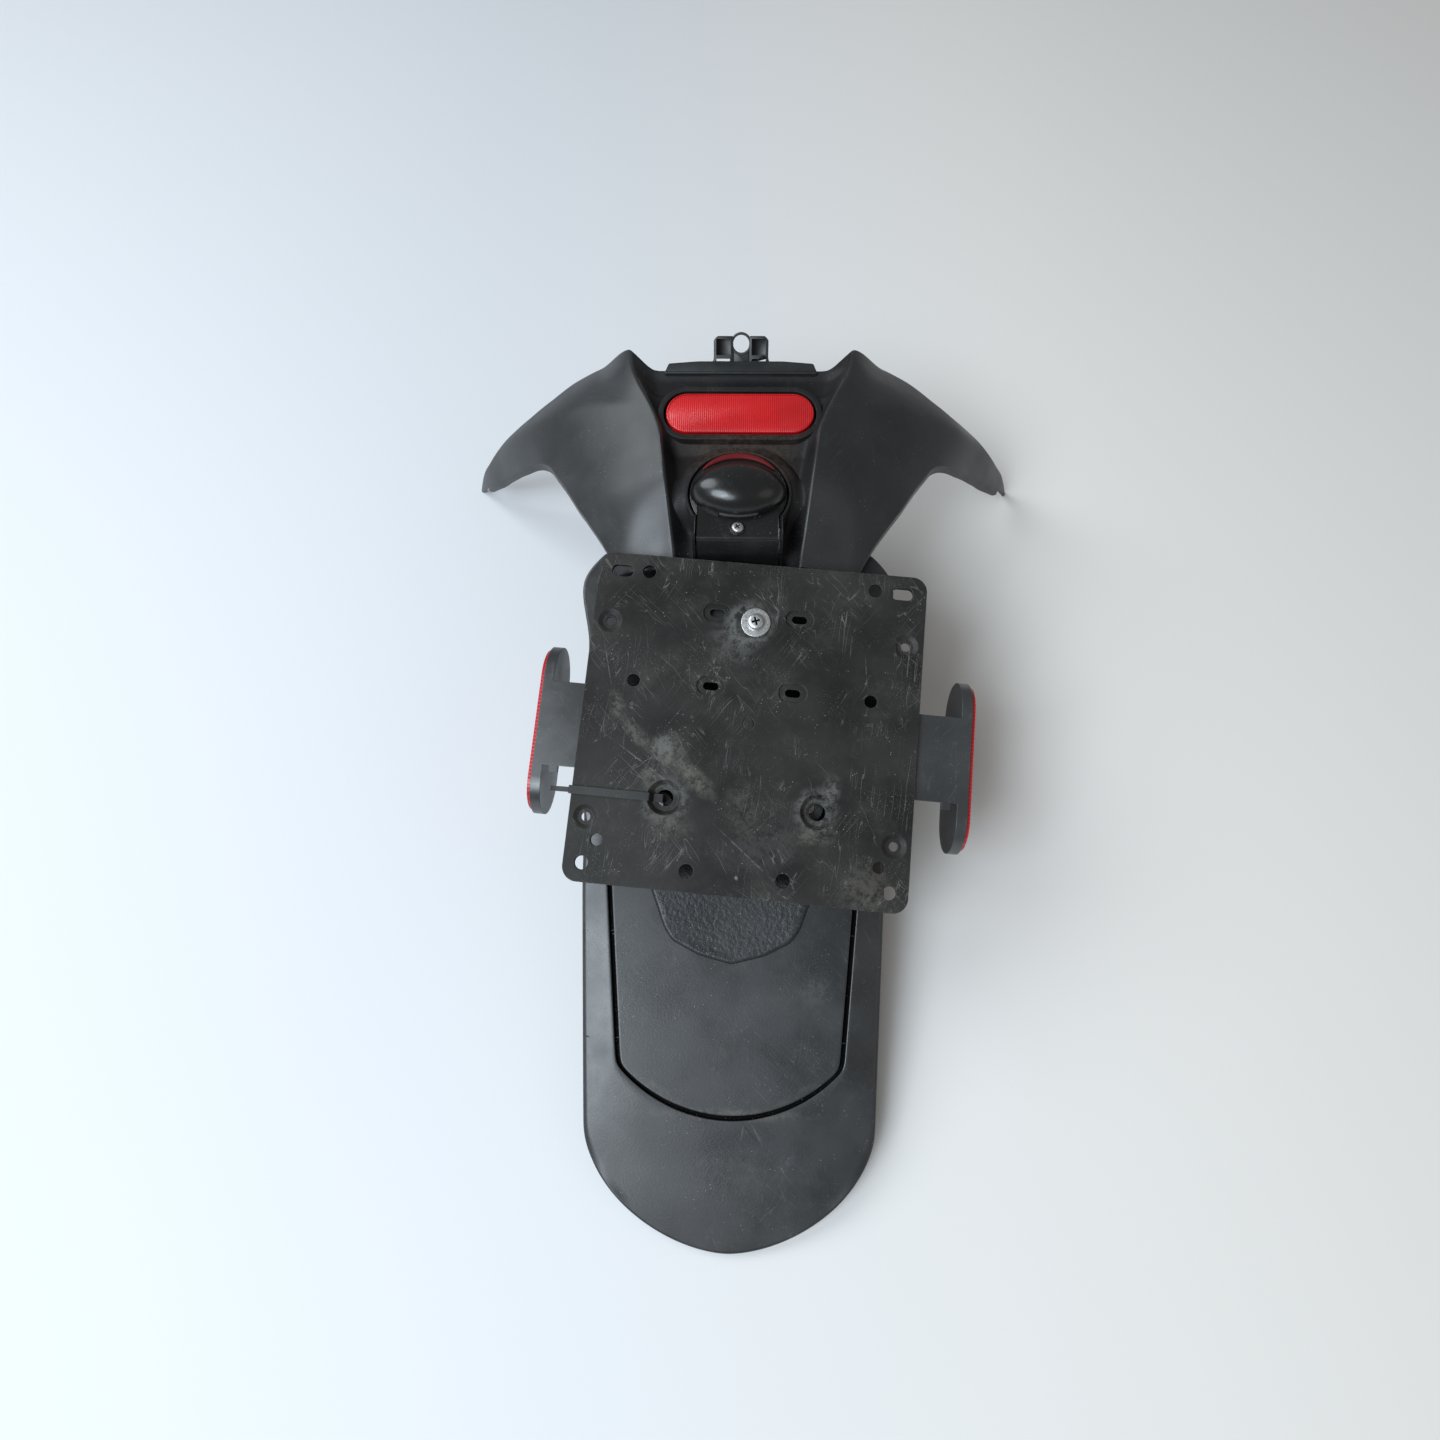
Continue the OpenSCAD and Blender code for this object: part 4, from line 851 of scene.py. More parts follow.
cut(tail_shell,
    slab(racetrack(POCKET_L + 2, POCKET_W + 2) + REFLECTOR_AT, 120, 190, 0.1),
    slab(disc(LAMP_R + 1.6, 96) + LAMP_AT, 120, 190, 0.1),
    slab(oblong(-26.5, 26.5, 90, 142), 120, 190, 0.1),
    slab(oblong(-260, 260, 90, 290), -90, 0.4, 0.1))
finish(tail_shell, shell_plastic, "black_plastic", "tail_cover")
centre = face_centres(tail_shell)
second_finish(tail_shell, trough_plastic_with_painted_shade, np.abs(centre[:, 0]) < ridge_x(centre[:, 1]) - 1)

# %% [markdown]
# The reflector sits in a tray of its own, so tray and lens lean together about their front edge.

# %% Pocket with its bead and the reflector in it, both leaning 9 degrees towards the front
LEAN = turned_by("X", 9)
HINGE = np.array([0, 182.5, 153.8])


def leaning(shell):
    """A shell turned about the reflector's front edge."""
    points, faces = shell
    return (points - HINGE) @ LEAN.T + HINGE, faces


bead = filleted([[0, 0.2], [0, 6.4], [3.4, 6.4], [4.6, 2.2], [4.6, -9], [-2, -9], [-2, 0.2]], 0.55)
pocket = joined(rim(racetrack(POCKET_L, POCKET_W) + REFLECTOR_AT, bead, POCKET_FLOOR),
                slab(racetrack(POCKET_L - 2, POCKET_W - 2) + REFLECTOR_AT, 145, POCKET_FLOOR + 0.4, 0.3))
finish(piece_of("reflector_pocket", leaning(pocket)), trough_plastic_with_painted_shade, "black_plastic")
lens = slab(racetrack(94, 28, 40) + REFLECTOR_AT, 148.6, 153.8, 1.2)
finish(piece_of("reflector_face", leaning(lens)), red_prisms, "signal_red", "reflector_lens")

# %% [markdown]
# The wall round the lamp starts inside the shell, wherever that is, and ends level. The collar behind
# it is a fan of short lines that rise from the shell along a quarter of a cosine.

# %% Lamp seat: a thin wall round the lamp and down both sides of the apron, and a broad soft collar
SEAT_RIM_R, SEAT_RIM_X = LAMP_R + 1.7, APRON_X + 1.6
meeting = math.degrees(math.acos(SEAT_RIM_X / SEAT_RIM_R))
arc = np.radians(np.linspace(-meeting, 180 + meeting, 110))
round_part = np.column_stack([np.cos(arc), np.sin(arc)]) * SEAT_RIM_R + LAMP_AT
straight = np.column_stack([np.full(24, SEAT_RIM_X), np.linspace(106.3, round_part[0, 1] - 1, 24)])
seat_line = np.vstack([straight, round_part, straight[::-1] * [-1, 1]])
seat_along = np.gradient(seat_line, axis=0)
seat_along = seat_along / np.linalg.norm(seat_along, axis=1, keepdims=True)
seat_side = np.column_stack([seat_along[:, 1], -seat_along[:, 0], 0 * seat_along[:, 0]])
seat_path = np.column_stack([seat_line, np.full(len(seat_line), LAMP_TOP)])
wall_foot = np.minimum(LAMP_TOP - 9, tail_z(seat_line[:, 0], seat_line[:, 1]) - TAIL_WALL)
wall_top = filleted([[-0.8, 0], [0.8, 0], [0.8, 1], [-0.8, 1]], [0, 0, 0.45, 0.45])
seat_rings = seat_path[:, None] + seat_side[:, None] * wall_top[None, :, :1]
is_low = wall_top[:, 1] < 0.3
seat_rings[..., 2] = np.where(is_low[None], wall_foot[:, None], LAMP_TOP - 0.3 + wall_top[None, :, 1])
seat_rim = rings_shell(seat_rings)

COLLAR_W = 9.5
fade = ease(7 * np.minimum(np.linspace(0, 1, 110), np.linspace(1, 0, 110)))[:, None]
reach = np.linspace(0, 1, 12)
round_side = np.column_stack([np.cos(arc), np.sin(arc)])
spread = 0.4 + COLLAR_W * reach * (0.3 + 0.7 * fade)
collar_plan = round_part[:, None] + round_side[:, None] * spread[..., None]
ground = tail_z(collar_plan[..., 0], collar_plan[..., 1])
lift = np.maximum(LAMP_TOP - 0.9 - ground, 0.5) * np.cos(reach * math.pi / 2) ** 0.8 * fade
collar_top = np.concatenate([collar_plan, (ground + lift - 0.25)[..., None]], -1)
collar_low = np.concatenate([collar_plan, (ground - 2.0)[..., None]], -1)[:, ::-1]
collar = rings_shell(np.concatenate([collar_top, collar_low], 1)[:, ::-1])
lamp_bed = slab(disc(LAMP_R + 2, 96) + LAMP_AT, LAMP_SEAT - 3.5, LAMP_SEAT - 0.1, 0.4)
finish(piece_of("lamp_seat_collar", joined(collar, seat_rim, lamp_bed)), trough_plastic_with_painted_shade, "black_plastic")

lip = filleted([[-50, 231], [50, 231], [47.5, 239.5], [28, 241.5], [-28, 241.5], [-47.5, 239.5]], 1.2)
finish(piece_of("rear_lip", slab(lip, 151.4, 154.4, 0.6)), shell_plastic, "black_plastic")

# %% [markdown]
# The bracket at the rear leans back by 48 degrees: a ring on a stem, between two open sockets. All of
# it is drawn flat first and then turned, because slabs are simple in their own plane.

# %% Bracket
EYELET_UP, EYELET_R = 12.5, 5.3
SOCKET_PLAN = np.array([[5.3, 0], [19.1, 0], [17.9, 4.1], [17.9, 14.7], [15.5, 17.1], [5.3, 17.1]])
HOLLOW_PLAN = filleted(oblong(-4.8, 4.8, -5, 5), 0.8)
SLOT_PLAN = filleted(oblong(-4.7, 4.7, 1.2, 3.6), 0.4)


def on_bracket(shell):
    """A shell of the bracket's own plane, turned and moved to its place."""
    return placed(shell, BRACKET_TURN, BRACKET_AT)


ring_section = filleted([[0, -3], [1.65, -3], [1.65, 0.9], [0, 0.9]], 0.5)
eyelet = rim(disc(EYELET_R), ring_section)
eyelet_at = BRACKET_AT + BRACKET_TURN @ [0, EYELET_UP, 0]
finish(piece_of("eyelet", placed(eyelet, BRACKET_TURN, eyelet_at)), shell_plastic, "black_plastic")
stem = slab(filleted([[-8, -4], [8, -4], [7, 4], [5, 9.2], [-5, 9.2], [-7, 4]], 0.8), -2.9, 0.6, 0.5)
foot_plate = slab(filleted(oblong(-20, 20, -4, 2), 0.8), -2.6, 0, 0.4)
block = slab(filleted(oblong(-20, 20, 231, 243), 0.8), 146.8, 151.8, 0.4)
stem_piece = piece_of("bracket_stem", on_bracket(stem))
eye_hole = on_bracket(slab(disc(EYELET_R + 0.4) + [0, EYELET_UP], -20, 20, 0.1))
finish(cut(stem_piece, eye_hole), shell_plastic, "black_plastic")
finish(piece_of("bracket_foot", joined(on_bracket(foot_plate), block)), shell_plastic, "black_plastic")
for side, label in ((-1, "left"), (1, "right")):
    outline = (SOCKET_PLAN * [side, 1])[::side]
    socket = piece_of(f"{label}_socket", on_bracket(slab(filleted(outline, 0.9), -9, 2, 0.45)))
    hollow = slab(HOLLOW_PLAN + [side * 11.6, 10.6], -7.5, 9, 0.1)
    slot = slab(SLOT_PLAN + [side * 11.9, 0], -30, 9, 0.1)
    finish(cut(socket, on_bracket(hollow), on_bracket(slot)), shell_plastic, "black_plastic")

# %% [markdown]
# Under the shell hang the return flange, which follows the front edge from tip to tip, the ribs of
# the wings, and two towers that the joining screws enter from below.

# %% Flange, wing ribs and towers
TIP_Y, TIP_RISE, SLOPE, SAG = -284.5, 5.0, 0.29, 0.0001
SHALLOW_DROPS = [[0, 15], [60, 15], [70, 7], [165, 7], [185, 9], [203, 8.5], [214, 1.5], [300, 1.5]]


def deck_z(y):
    """Height of the tongue's deck line, which climbs from the tip by 0.29 s - 0.0001 s^2."""
    s = y - TIP_Y
    return TIP_RISE + SLOPE * s - SAG * s**2


def hanging_wall(plan, drop, wall=2.2):
    """A wall along plan points that starts inside the shell and hangs down by the drop at each point."""
    along = np.gradient(plan, axis=0)
    along = along / np.linalg.norm(along, axis=1, keepdims=True)
    side = np.stack([-along[:, 1], along[:, 0], 0 * along[:, 0]], -1)
    top = tail_z(plan[:, 0], plan[:, 1]) - TAIL_WALL * 0.6
    low = top - drop
    near = np.column_stack([plan, low])
    inset, lift = np.array([0, wall, wall, wall - 0.5, 0.5, 0]), np.array([1, 1, 0, 0, 0, 0])
    up = np.array([0, 0, 0.5, 0, 0, 0.5])
    rings = near[:, None] + side[:, None] * inset[None, :, None]
    rings[..., 2] += lift[None] * drop[:, None] + up[None]
    rings[:, :2, 2] = tail_z(rings[:, :2, 0], rings[:, :2, 1]) - TAIL_WALL * 0.6
    return rings_shell(rings[:, ::-1])


flange_rows = np.linspace(FRONT_Y, 241, 150)
flange_a = wing_edge(flange_rows) - 1.0
flange_y = flange_rows + bend_share(flange_rows) * (rear_edge_y(flange_a) - REAR_Y) + 0.7
wing_line = np.column_stack([flange_a, flange_y])
middle_line = np.column_stack([np.linspace(-74, 74, 90), np.full(90, FRONT_Y + 0.7)])
flange_line = np.vstack([wing_line[::-1] * [-1, 1], middle_line, wing_line])
flange_drop = bent(np.abs(flange_line[:, 0]), [[0, 1], [49, 1], [52, 0], [300, 0]], 1.5)
to_deck = tail_z(flange_line[:, 0], flange_line[:, 1]) - deck_z(flange_line[:, 1]) + 1.5
shallow = bent(np.abs(flange_line[:, 0]), SHALLOW_DROPS, 2)
flange = hanging_wall(flange_line, flange_drop * to_deck + (1 - flange_drop) * shallow)
rib_depth = 2 + 9 * ease(3 * np.minimum(np.linspace(0, 1, 30), np.linspace(1, 0, 30)))
ribs = [hanging_wall(np.column_stack([np.full(30, side * x), np.linspace(y0, y1, 30)]), rib_depth)
        for side in (-1, 1) for x, y0, y1 in ((92, 150, 244), (138, 208, 243))]
finish(piece_of("front_flange", joined(flange, *ribs)), shell_plastic, "black_plastic")

JOIN_AT = np.array([40, 120])
join_places = [np.array([side * JOIN_AT[0], JOIN_AT[1], deck_z(JOIN_AT[1])]) for side in (-1, 1)]
join_turn = turned_by("X", math.degrees(math.atan(SLOPE - 2 * SAG * (JOIN_AT[1] - TIP_Y))))
tube_section = filleted([[0, 0.3], [4, 0.3], [4, 20], [0, 20]], 0.4)
towers = [placed(rim(disc(2.0, 40), tube_section), join_turn, place) for place in join_places]
finish(piece_of("join_towers", joined(*towers)), shell_plastic, "black_plastic")

# %% [markdown]
# ## Lower fender: the tongue
#
# Its faces follow nested outlines: the centre panel, the groove round it, the sloping side strips,
# the rounded edge and the skirt. Every outline has the same number of points, matched at its
# corners, so the rings between them run along the groove. The inside of the smallest ring is
# filled by rungs that link each point with its mirror image.

# %% Tongue outlines
TONGUE_HALF_W, TONGUE_END, FENDER_WALL, FENDER_BACK = 86.0, 66.5, 3.0, 128.0
PANEL_RISE, GROOVE_W, GROOVE_DEPTH, SKIRT_W = 1.2, 2.8, 2.2, 2.6
PANEL_BOW_R = 91.7
RING_COUNTS = (70, 110, 40)
EDGE_R = 1.4


def even(points, count):
    """count points spread evenly along a broken line, without its last one."""
    p = np.asarray(points, float)
    far = np.concatenate([[0], np.cumsum(np.linalg.norm(np.diff(p, axis=0), axis=1))])
    at = np.linspace(0, far[-1], count, endpoint=False)
    return np.column_stack([np.interp(at, far, p[:, 0]), np.interp(at, far, p[:, 1])])


def ring_outline(end, side, back, passes=6):
    """A closed outline from three broken lines of its right half: round end, side, and back edge.
    Each pass moves a point b between a and c to (a + 2b + c)/4, which rounds the corners."""
    right = np.vstack([even(line, n) for line, n in zip((end, side, back), RING_COUNTS)])
    last = np.array([[0, back[-1][1]]])
    whole = np.vstack([right, last, right[:0:-1] * [-1, 1]])
    for _ in range(passes):
        whole = (np.roll(whole, 1, 0) + 2 * whole + np.roll(whole, -1, 0)) / 4
    return whole


def fender_outline(inset):
    """Plan outline. Its round end of half width w and length l is a superellipse: with p = 2/1.75,
    x = w cos(t)^p and y = tip + l - l sin(t)^p."""
    t = np.linspace(math.pi / 2, 0, 160)
    power = 2 / 1.75
    end = np.column_stack([(TONGUE_HALF_W - inset) * np.cos(t) ** power,
                           TIP_Y + TONGUE_END - (TONGUE_END - inset) * np.sin(t) ** power])
    side = [end[-1], [92.6 - inset, -83], [95 - inset, 68]]
    back = [side[-1], [101.5 - inset, 97], [101 - inset, 108 - inset * 0.4],
            [84 - inset, FENDER_BACK - inset], [0, FENDER_BACK - inset]]
    return ring_outline(end, side, back)


def panel_outline(inset):
    """Centre panel: a shallow bow of radius 91.7 below, short cropped corners and straight sides."""
    x = np.linspace(0, 65 - inset, 60)
    bow = np.column_stack([x, -214.5 + inset + PANEL_BOW_R - np.sqrt(PANEL_BOW_R**2 - x**2)])
    end = np.vstack([bow, [[67.5 - inset, -184]]])
    side = [end[-1], [68.5 - inset, -172], [76.5 - inset, -83], [83 - inset, 62]]
    return ring_outline(end, side, [side[-1], [0, 62]])


def strip_fall(outline, share):
    """The side strips slope down outwards by up to 2.8 mm, except round the tip and under the carrier."""
    y = outline[:, 1]
    along = ease((y + 262) / 30) * (1 - ease((y + 50) / 16))
    return -2.8 * share * along


def at_deck(outline, lift):
    """An outline laid on the deck and lifted."""
    z = deck_z(outline[:, 1]) + lift
    return np.column_stack([outline, z])


def at_height(outline, z):
    """An outline with the heights z."""
    return np.column_stack([outline, z])


def skirt_z(outline):
    """Lower edge of the skirt, 5 mm below the deck at the tip and 16 mm at most, never below ground."""
    s = outline[:, 1] - TIP_Y
    return np.maximum(deck_z(outline[:, 1]) - np.minimum(16, 5 + 0.12 * s), 0)


def rungs_fill(ring, count, start, base, flip):
    """Fills a mirror symmetric ring with rungs of count points between each point and its mirror image."""
    half = len(ring) // 2
    left, right = ring[:half:-1], ring[1:half]
    t = np.linspace(0, 1, count + 2)[1:-1]
    inner = left[:, None] * (1 - t[None, :, None]) + right[:, None] * t[None, :, None]
    ids = start + np.arange(inner.shape[0] * count).reshape(inner.shape[:2])
    left_ids = base + np.arange(len(ring))[:half:-1]
    right_ids = base + np.arange(1, half)
    grid = np.column_stack([left_ids, ids, right_ids])
    faces = quads(grid).tolist()
    first, last = grid[0], grid[-1]
    faces += [[base, int(b), int(a)] for a, b in zip(first[:-1], first[1:])]
    faces += [[base + half, int(a), int(b)] for a, b in zip(last[:-1], last[1:])]
    return inner.reshape(-1, 3), ([f[::-1] for f in faces] if flip else faces)


# %% Tongue body
panel_edge = panel_outline(GROOVE_W)
fender_edge = fender_outline(0)
full_fall = strip_fall(fender_edge, 1.0)
rings = [at_deck(panel_outline(GROOVE_W + 5), PANEL_RISE), at_deck(panel_outline(GROOVE_W + 1.2), PANEL_RISE)]
rings += [at_deck(panel_outline(GROOVE_W + 0.5 * (1 - math.sin(w))), PANEL_RISE - 0.5 * (1 - math.cos(w)))
          for w in EDGE_TURN]
rings += [at_deck(panel_edge, -GROOVE_DEPTH), at_deck(panel_outline(GROOVE_W * 0.5), -GROOVE_DEPTH - 0.1),
          at_deck(panel_outline(0.1), -GROOVE_DEPTH)]
rings += [at_deck(panel_outline(0), -0.4), at_deck(panel_outline(-0.3), -0.08)]
strip_start = panel_outline(-0.8)
for share in np.linspace(0, 1, 12):
    between = strip_start * (1 - share) + fender_outline(1.6) * share
    rings.append(at_deck(between, strip_fall(between, share * 0.92)))
rings += [at_deck(fender_outline(EDGE_R * (1 - math.sin(w))), full_fall - EDGE_R * (1 - math.cos(w)))
          for w in EDGE_TURN]
low = skirt_z(fender_edge)
top_of_wall = rings[-1][:, 2]
rings += [at_height(fender_edge, top_of_wall * (1 - t) + (low + 0.6) * t) for t in (0.33, 0.66, 1.0)]
rings += [at_height(fender_outline(0.6), low), at_height(fender_outline(SKIRT_W - 0.6), low),
          at_height(fender_outline(SKIRT_W), low + 0.6)]
under = at_deck(fender_outline(SKIRT_W), -FENDER_WALL + full_fall)
rings += [at_height(fender_outline(SKIRT_W), (low + 0.6) * (1 - t) + (under[:, 2] - 0.5) * t)
          for t in (0.5, 1.0)]
inner_rim = fender_outline(SKIRT_W + 0.8)
rings += [at_deck(inner_rim, -FENDER_WALL + strip_fall(inner_rim, 0.95)),
          at_deck(fender_outline(SKIRT_W + 14), -FENDER_WALL - 0.6),
          at_deck(fender_outline(SKIRT_W + 20), -FENDER_WALL)]
rings = np.stack(rings)
ring_points = rings.reshape(-1, 3)
around = rings.shape[1]
ring_faces = quads(closed(np.arange(len(ring_points)).reshape(-1, around), 1))[:, ::-1].tolist()
top_fill, top_faces = rungs_fill(rings[0], 60, len(ring_points), 0, False)
low_start, last_ring = len(ring_points) + len(top_fill), len(ring_points) - around
low_fill, low_faces = rungs_fill(rings[-1], 24, low_start, last_ring, True)
tongue_points = np.vstack([ring_points, top_fill, low_fill])
tongue = piece_of("tongue", (tongue_points, ring_faces + top_faces + low_faces))
print("rings of the tongue:", len(rings), "of", around, "points")

# %% [markdown]
# Three towers carry the plate carrier. They stand square to it, and what would reach through the
# sloping deck is cut off. The holes below them are cut in the same turned frame. The groove's walls
# get a dark shade, which stands for the dirt and the shadow in a slot 2.8 mm wide.

# %% Towers of the tongue, and the holes below them
LOW_TOWER, TOP_TOWER = np.array([45, -47]), np.array([0, 63])
low_section = filleted([[0, -15.5], [2.7, -15.5], [2.7, -60], [5.1, -60], [5.1, -13], [0, -13]], 0.35)
top_section = filleted([[0, -9.6], [3.6, -9.6], [3.6, -45], [6.6, -45], [6.6, -5.6], [0, -5.6]], 0.35)


def below_plane(shell):
    """A shell of the carrier's untwisted plane, turned and moved to its place."""
    return placed(shell, PLANE_TURN, PLANE_CENTRE)


def below_deck(offset):
    """A block that fills everything lower than the deck line moved up by the offset."""
    y = np.linspace(TIP_Y - 5, FENDER_BACK + 20, 60)
    side_view = np.vstack([np.column_stack([y, deck_z(y) + offset])[::-1], [[y[0], -90], [y[-1], -90]]])
    return slab(side_view, -130, 130, 0.01, axes="YZX")


tower_shells = [below_plane(rim(disc(3.4, 48) + LOW_TOWER * [side, 1], low_section)) for side in (-1, 1)]
tower_shells.append(below_plane(rim(racetrack(31, 6.8) + TOP_TOWER, top_section)))
tower_names = ("left_low_tower", "right_low_tower", "top_tower")
for name, shell in zip(tower_names, tower_shells):
    finish(cut(piece_of(name, shell), below_deck(-2.6)), tongue_plastic, "black_plastic")
hollows = [below_plane(slab(disc(6.1, 48) + LOW_TOWER * [side, 1], -90, -16, 0.1)) for side in (-1, 1)]
hollows.append(below_plane(slab(racetrack(38, 14) + TOP_TOWER, -90, -10, 0.1)))
hollows += [placed(slab(disc(2.4, 32), -10, 10, 0.1), join_turn, place) for place in join_places]
cut(tongue, *hollows)
finish(tongue, tongue_plastic, "black_plastic", "lower_fender")
centre = face_centres(tongue)
depth = deck_z(centre[:, 1]) - centre[:, 2]
sunk = (depth > 0.35) & (depth < FENDER_WALL - 0.3) & (centre[:, 1] > -222) & (centre[:, 1] < 64)
sunk &= np.abs(centre[:, 0]) < bent(centre[:, 1], [[-220, 70], [-172, 69], [-83, 77], [62, 83.5]])
bow_y = -214.5 + PANEL_BOW_R - np.sqrt(PANEL_BOW_R**2 - np.minimum(np.abs(centre[:, 0]), 65) ** 2)
sunk &= centre[:, 1] > bow_y - 0.3
second_finish(tongue, groove_shade, sunk)

# %% [markdown]
# The pad is a rough field, raised by 2.2 mm with a soft edge. Below the deck a lattice of thin ribs
# keeps such a long moulding flat.

# %% Shield pad and the ribs below
# Each pair of the pad's section is the step inwards and the height above the deck
PAD_SECTION = ((4.4, PANEL_RISE + 2.2), (2.2, PANEL_RISE + 2.16), (1.3, PANEL_RISE + 1.9),
               (0.5, PANEL_RISE + 1.2), (0, PANEL_RISE), (0, -1.0))
shield_half = np.array([[0, -129], [20, -124], [36, -116], [41, -109], [49.5, -87], [54, -60]])
shield = np.vstack([shield_half, shield_half[:0:-1] * [-1, 1]])
shield = filleted(shield, 3.0, 7)
pad_rings = [np.column_stack([shield - outward(shield) * inset, deck_z(shield[:, 1]) + lift])
             for inset, lift in PAD_SECTION]
pad = piece_of("shield_pad", rings_shell(np.stack(pad_rings)))
finish(pad, pad_plastic, "black_plastic")


def rib(start, end, drop=11.0, width=2.2):
    """A straight rib below the deck, from just inside it to its drop below the deck line."""
    t = np.linspace(0, 1, 40)[:, None]
    plan = np.array(start) * (1 - t) + np.array(end) * t
    path = np.column_stack([plan, deck_z(plan[:, 1]) - FENDER_WALL])
    along = np.array([end[0] - start[0], end[1] - start[1], 0.0])
    side = np.cross([0, 0, 1.0], along / np.linalg.norm(along))
    h = drop - FENDER_WALL
    section = np.array([[-0.5, 0.6], [0.5, 0.6], [0.5, -h + 0.4], [0.3, -h], [-0.3, -h], [-0.5, -h + 0.4]])
    return swept(path, np.broadcast_to(side * width, path.shape), section)


long_ribs = [rib((x, -205), (x, 95)) for x in (-58, -22, 22, 58)]
cross_ribs = [rib((-half, y), (half, y)) for y, half in ((-170, 86), (-110, 88), (0, 91), (95, 98))]
finish(piece_of("tongue_ribs", joined(*long_ribs, *cross_ribs)), tongue_plastic, "black_plastic")

# %% [markdown]
# ## Lamp: seat ring with its apron, glossy dome and red arc
#
# The lamp lights the number plate, so its window opens low in the front of the dome. The base is a
# flat ring whose apron folds down towards the carrier. The apron is drawn from the side and extruded
# along X.

# %% Lamp base
apron_view = filleted([[142, 142.5], [142, 148], [107, 147.4], [101.5, 124], [103.4, 124], [105.9, 135],
                       [105.9, 142.5]], [0.3, 0.3, 1.6, 0.6, 0.6, 1.0, 0.6])[::-1]
apron = slab(apron_view, -APRON_X, APRON_X, 0.8, axes="YZX")
rim_view = filleted([[124, 147], [122, 148.8], [106.6, 148.2], [101.0, 124.5], [102.5, 124.5],
                     [107.5, 146]], 0.5)[::-1]
apron_rims = [slab(rim_view, x - 0.8, x + 0.8, 0.35, axes="YZX") for x in (-SEAT_RIM_X, SEAT_RIM_X)]
seat = slab(disc(LAMP_R, 120) + LAMP_AT, LAMP_SEAT, LAMP_TOP, 1.0)
screw_boss = slab(disc(4.9, 48) + [0, 113], LAMP_TOP - 3, 148.7, 0.3)
lamp_seat = piece_of("lamp_seat", joined(seat, apron, *apron_rims, screw_boss))
finish(lamp_seat, gloss_plastic, "gloss_black", "lamp_base")

# %% [markdown]
# Seen from above the dome is an almond: x = a cos(t), y = b sin(t)^1.15. Its rings shrink by
# cos(w)^0.8 as they rise by c sin(w), which is a little fuller than a sphere. A squashed sphere would
# be quicker, but its plan lacks the almond's slight points.

# %% Lamp dome
HOOD_AT, HOOD_SIZE, HOOD_WALL = np.array([0, 139.0, LAMP_TOP]), np.array([29.6, 18.4, 16.9]), 2.0
t = np.linspace(0, 2 * math.pi, 96, endpoint=False)
plan = np.column_stack([np.cos(t), np.sign(np.sin(t)) * np.abs(np.sin(t)) ** 1.15])
rise = np.radians(np.concatenate([[89, 86], np.linspace(82, 0, 26)]))


def dome_rings(size):
    """The dome's rings for half axes a and b and a height c, from the top down."""
    spread = np.cos(rise)[:, None, None] ** 0.8 * plan[None] * size[:2]
    height = np.broadcast_to((np.sin(rise) * size[2])[:, None, None], spread.shape[:2] + (1,))
    return np.concatenate([spread, height], -1)


dome = np.concatenate([dome_rings(HOOD_SIZE), dome_rings(HOOD_SIZE - HOOD_WALL)[::-1]]) + HOOD_AT
hood = piece_of("lamp_dome", rings_shell(dome))
window = slab(filleted(oblong(-12, 12, 118, 132), 0.5), LAMP_TOP - 1, LAMP_TOP + 3.4, 0.1)
finish(cut(hood, window), gloss_plastic, "gloss_black", "lamp_hood")

# %% [markdown]
# The photo shows a thin red crescent behind the dome. It is a bar of oval section along an arc.

# %% Red crescent behind the dome, thinning out at both ends
RED_R = 28.6
t = np.radians(np.linspace(38, 142, 70))
thin = 0.15 + 0.85 * np.sin(np.linspace(0, math.pi, 70)) ** 0.7
w = np.linspace(0, 2 * math.pi, 16, endpoint=False)
radial = np.stack([np.cos(t), np.sin(t), 0 * t], -1)
path = radial * RED_R + [*LAMP_AT, LAMP_TOP + 0.3]
rings = (path[:, None] + radial[:, None] * (np.cos(w) * 2.2)[None, :, None] * thin[:, None, None]
         + np.array([0, 0, 1]) * (np.sin(w) * 1.3)[None, :, None] * thin[:, None, None])
finish(piece_of("lamp_red_arc", rings_shell(rings)), dark_red, "dark_red", "lamp_rim")

# %% [markdown]
# ## Screws with a cross recess
#
# A pan head is a lathe profile. The recess is two crossed slots, cut straight down. A bump could
# draw the cross, but it would stay flat in a close view. The slots' walls get a dark painted shade.

# %% Screws and washer
def pan_head(radius, height, shaft_r, shaft_l):
    """Rings of a pan head and its plain shaft, from the top of the head down."""
    head = np.array([[0.25, 1.0], [0.55, 0.985], [0.78, 0.93], [0.92, 0.8], [0.985, 0.6], [1.0, 0.35],
                     [0.99, 0.04]])
    shaft = [[radius * 0.96, 0], [shaft_r, 0], [shaft_r, 0.3 - shaft_l], [shaft_r * 0.8, -shaft_l]]
    profile = np.vstack([head * [radius, height], shaft])
    ring = disc(1.0, 64)
    flat = profile[:, None, :1] * ring[None]
    return np.concatenate([flat, np.broadcast_to(profile[:, None, 1:], flat.shape[:2] + (1,))], -1)


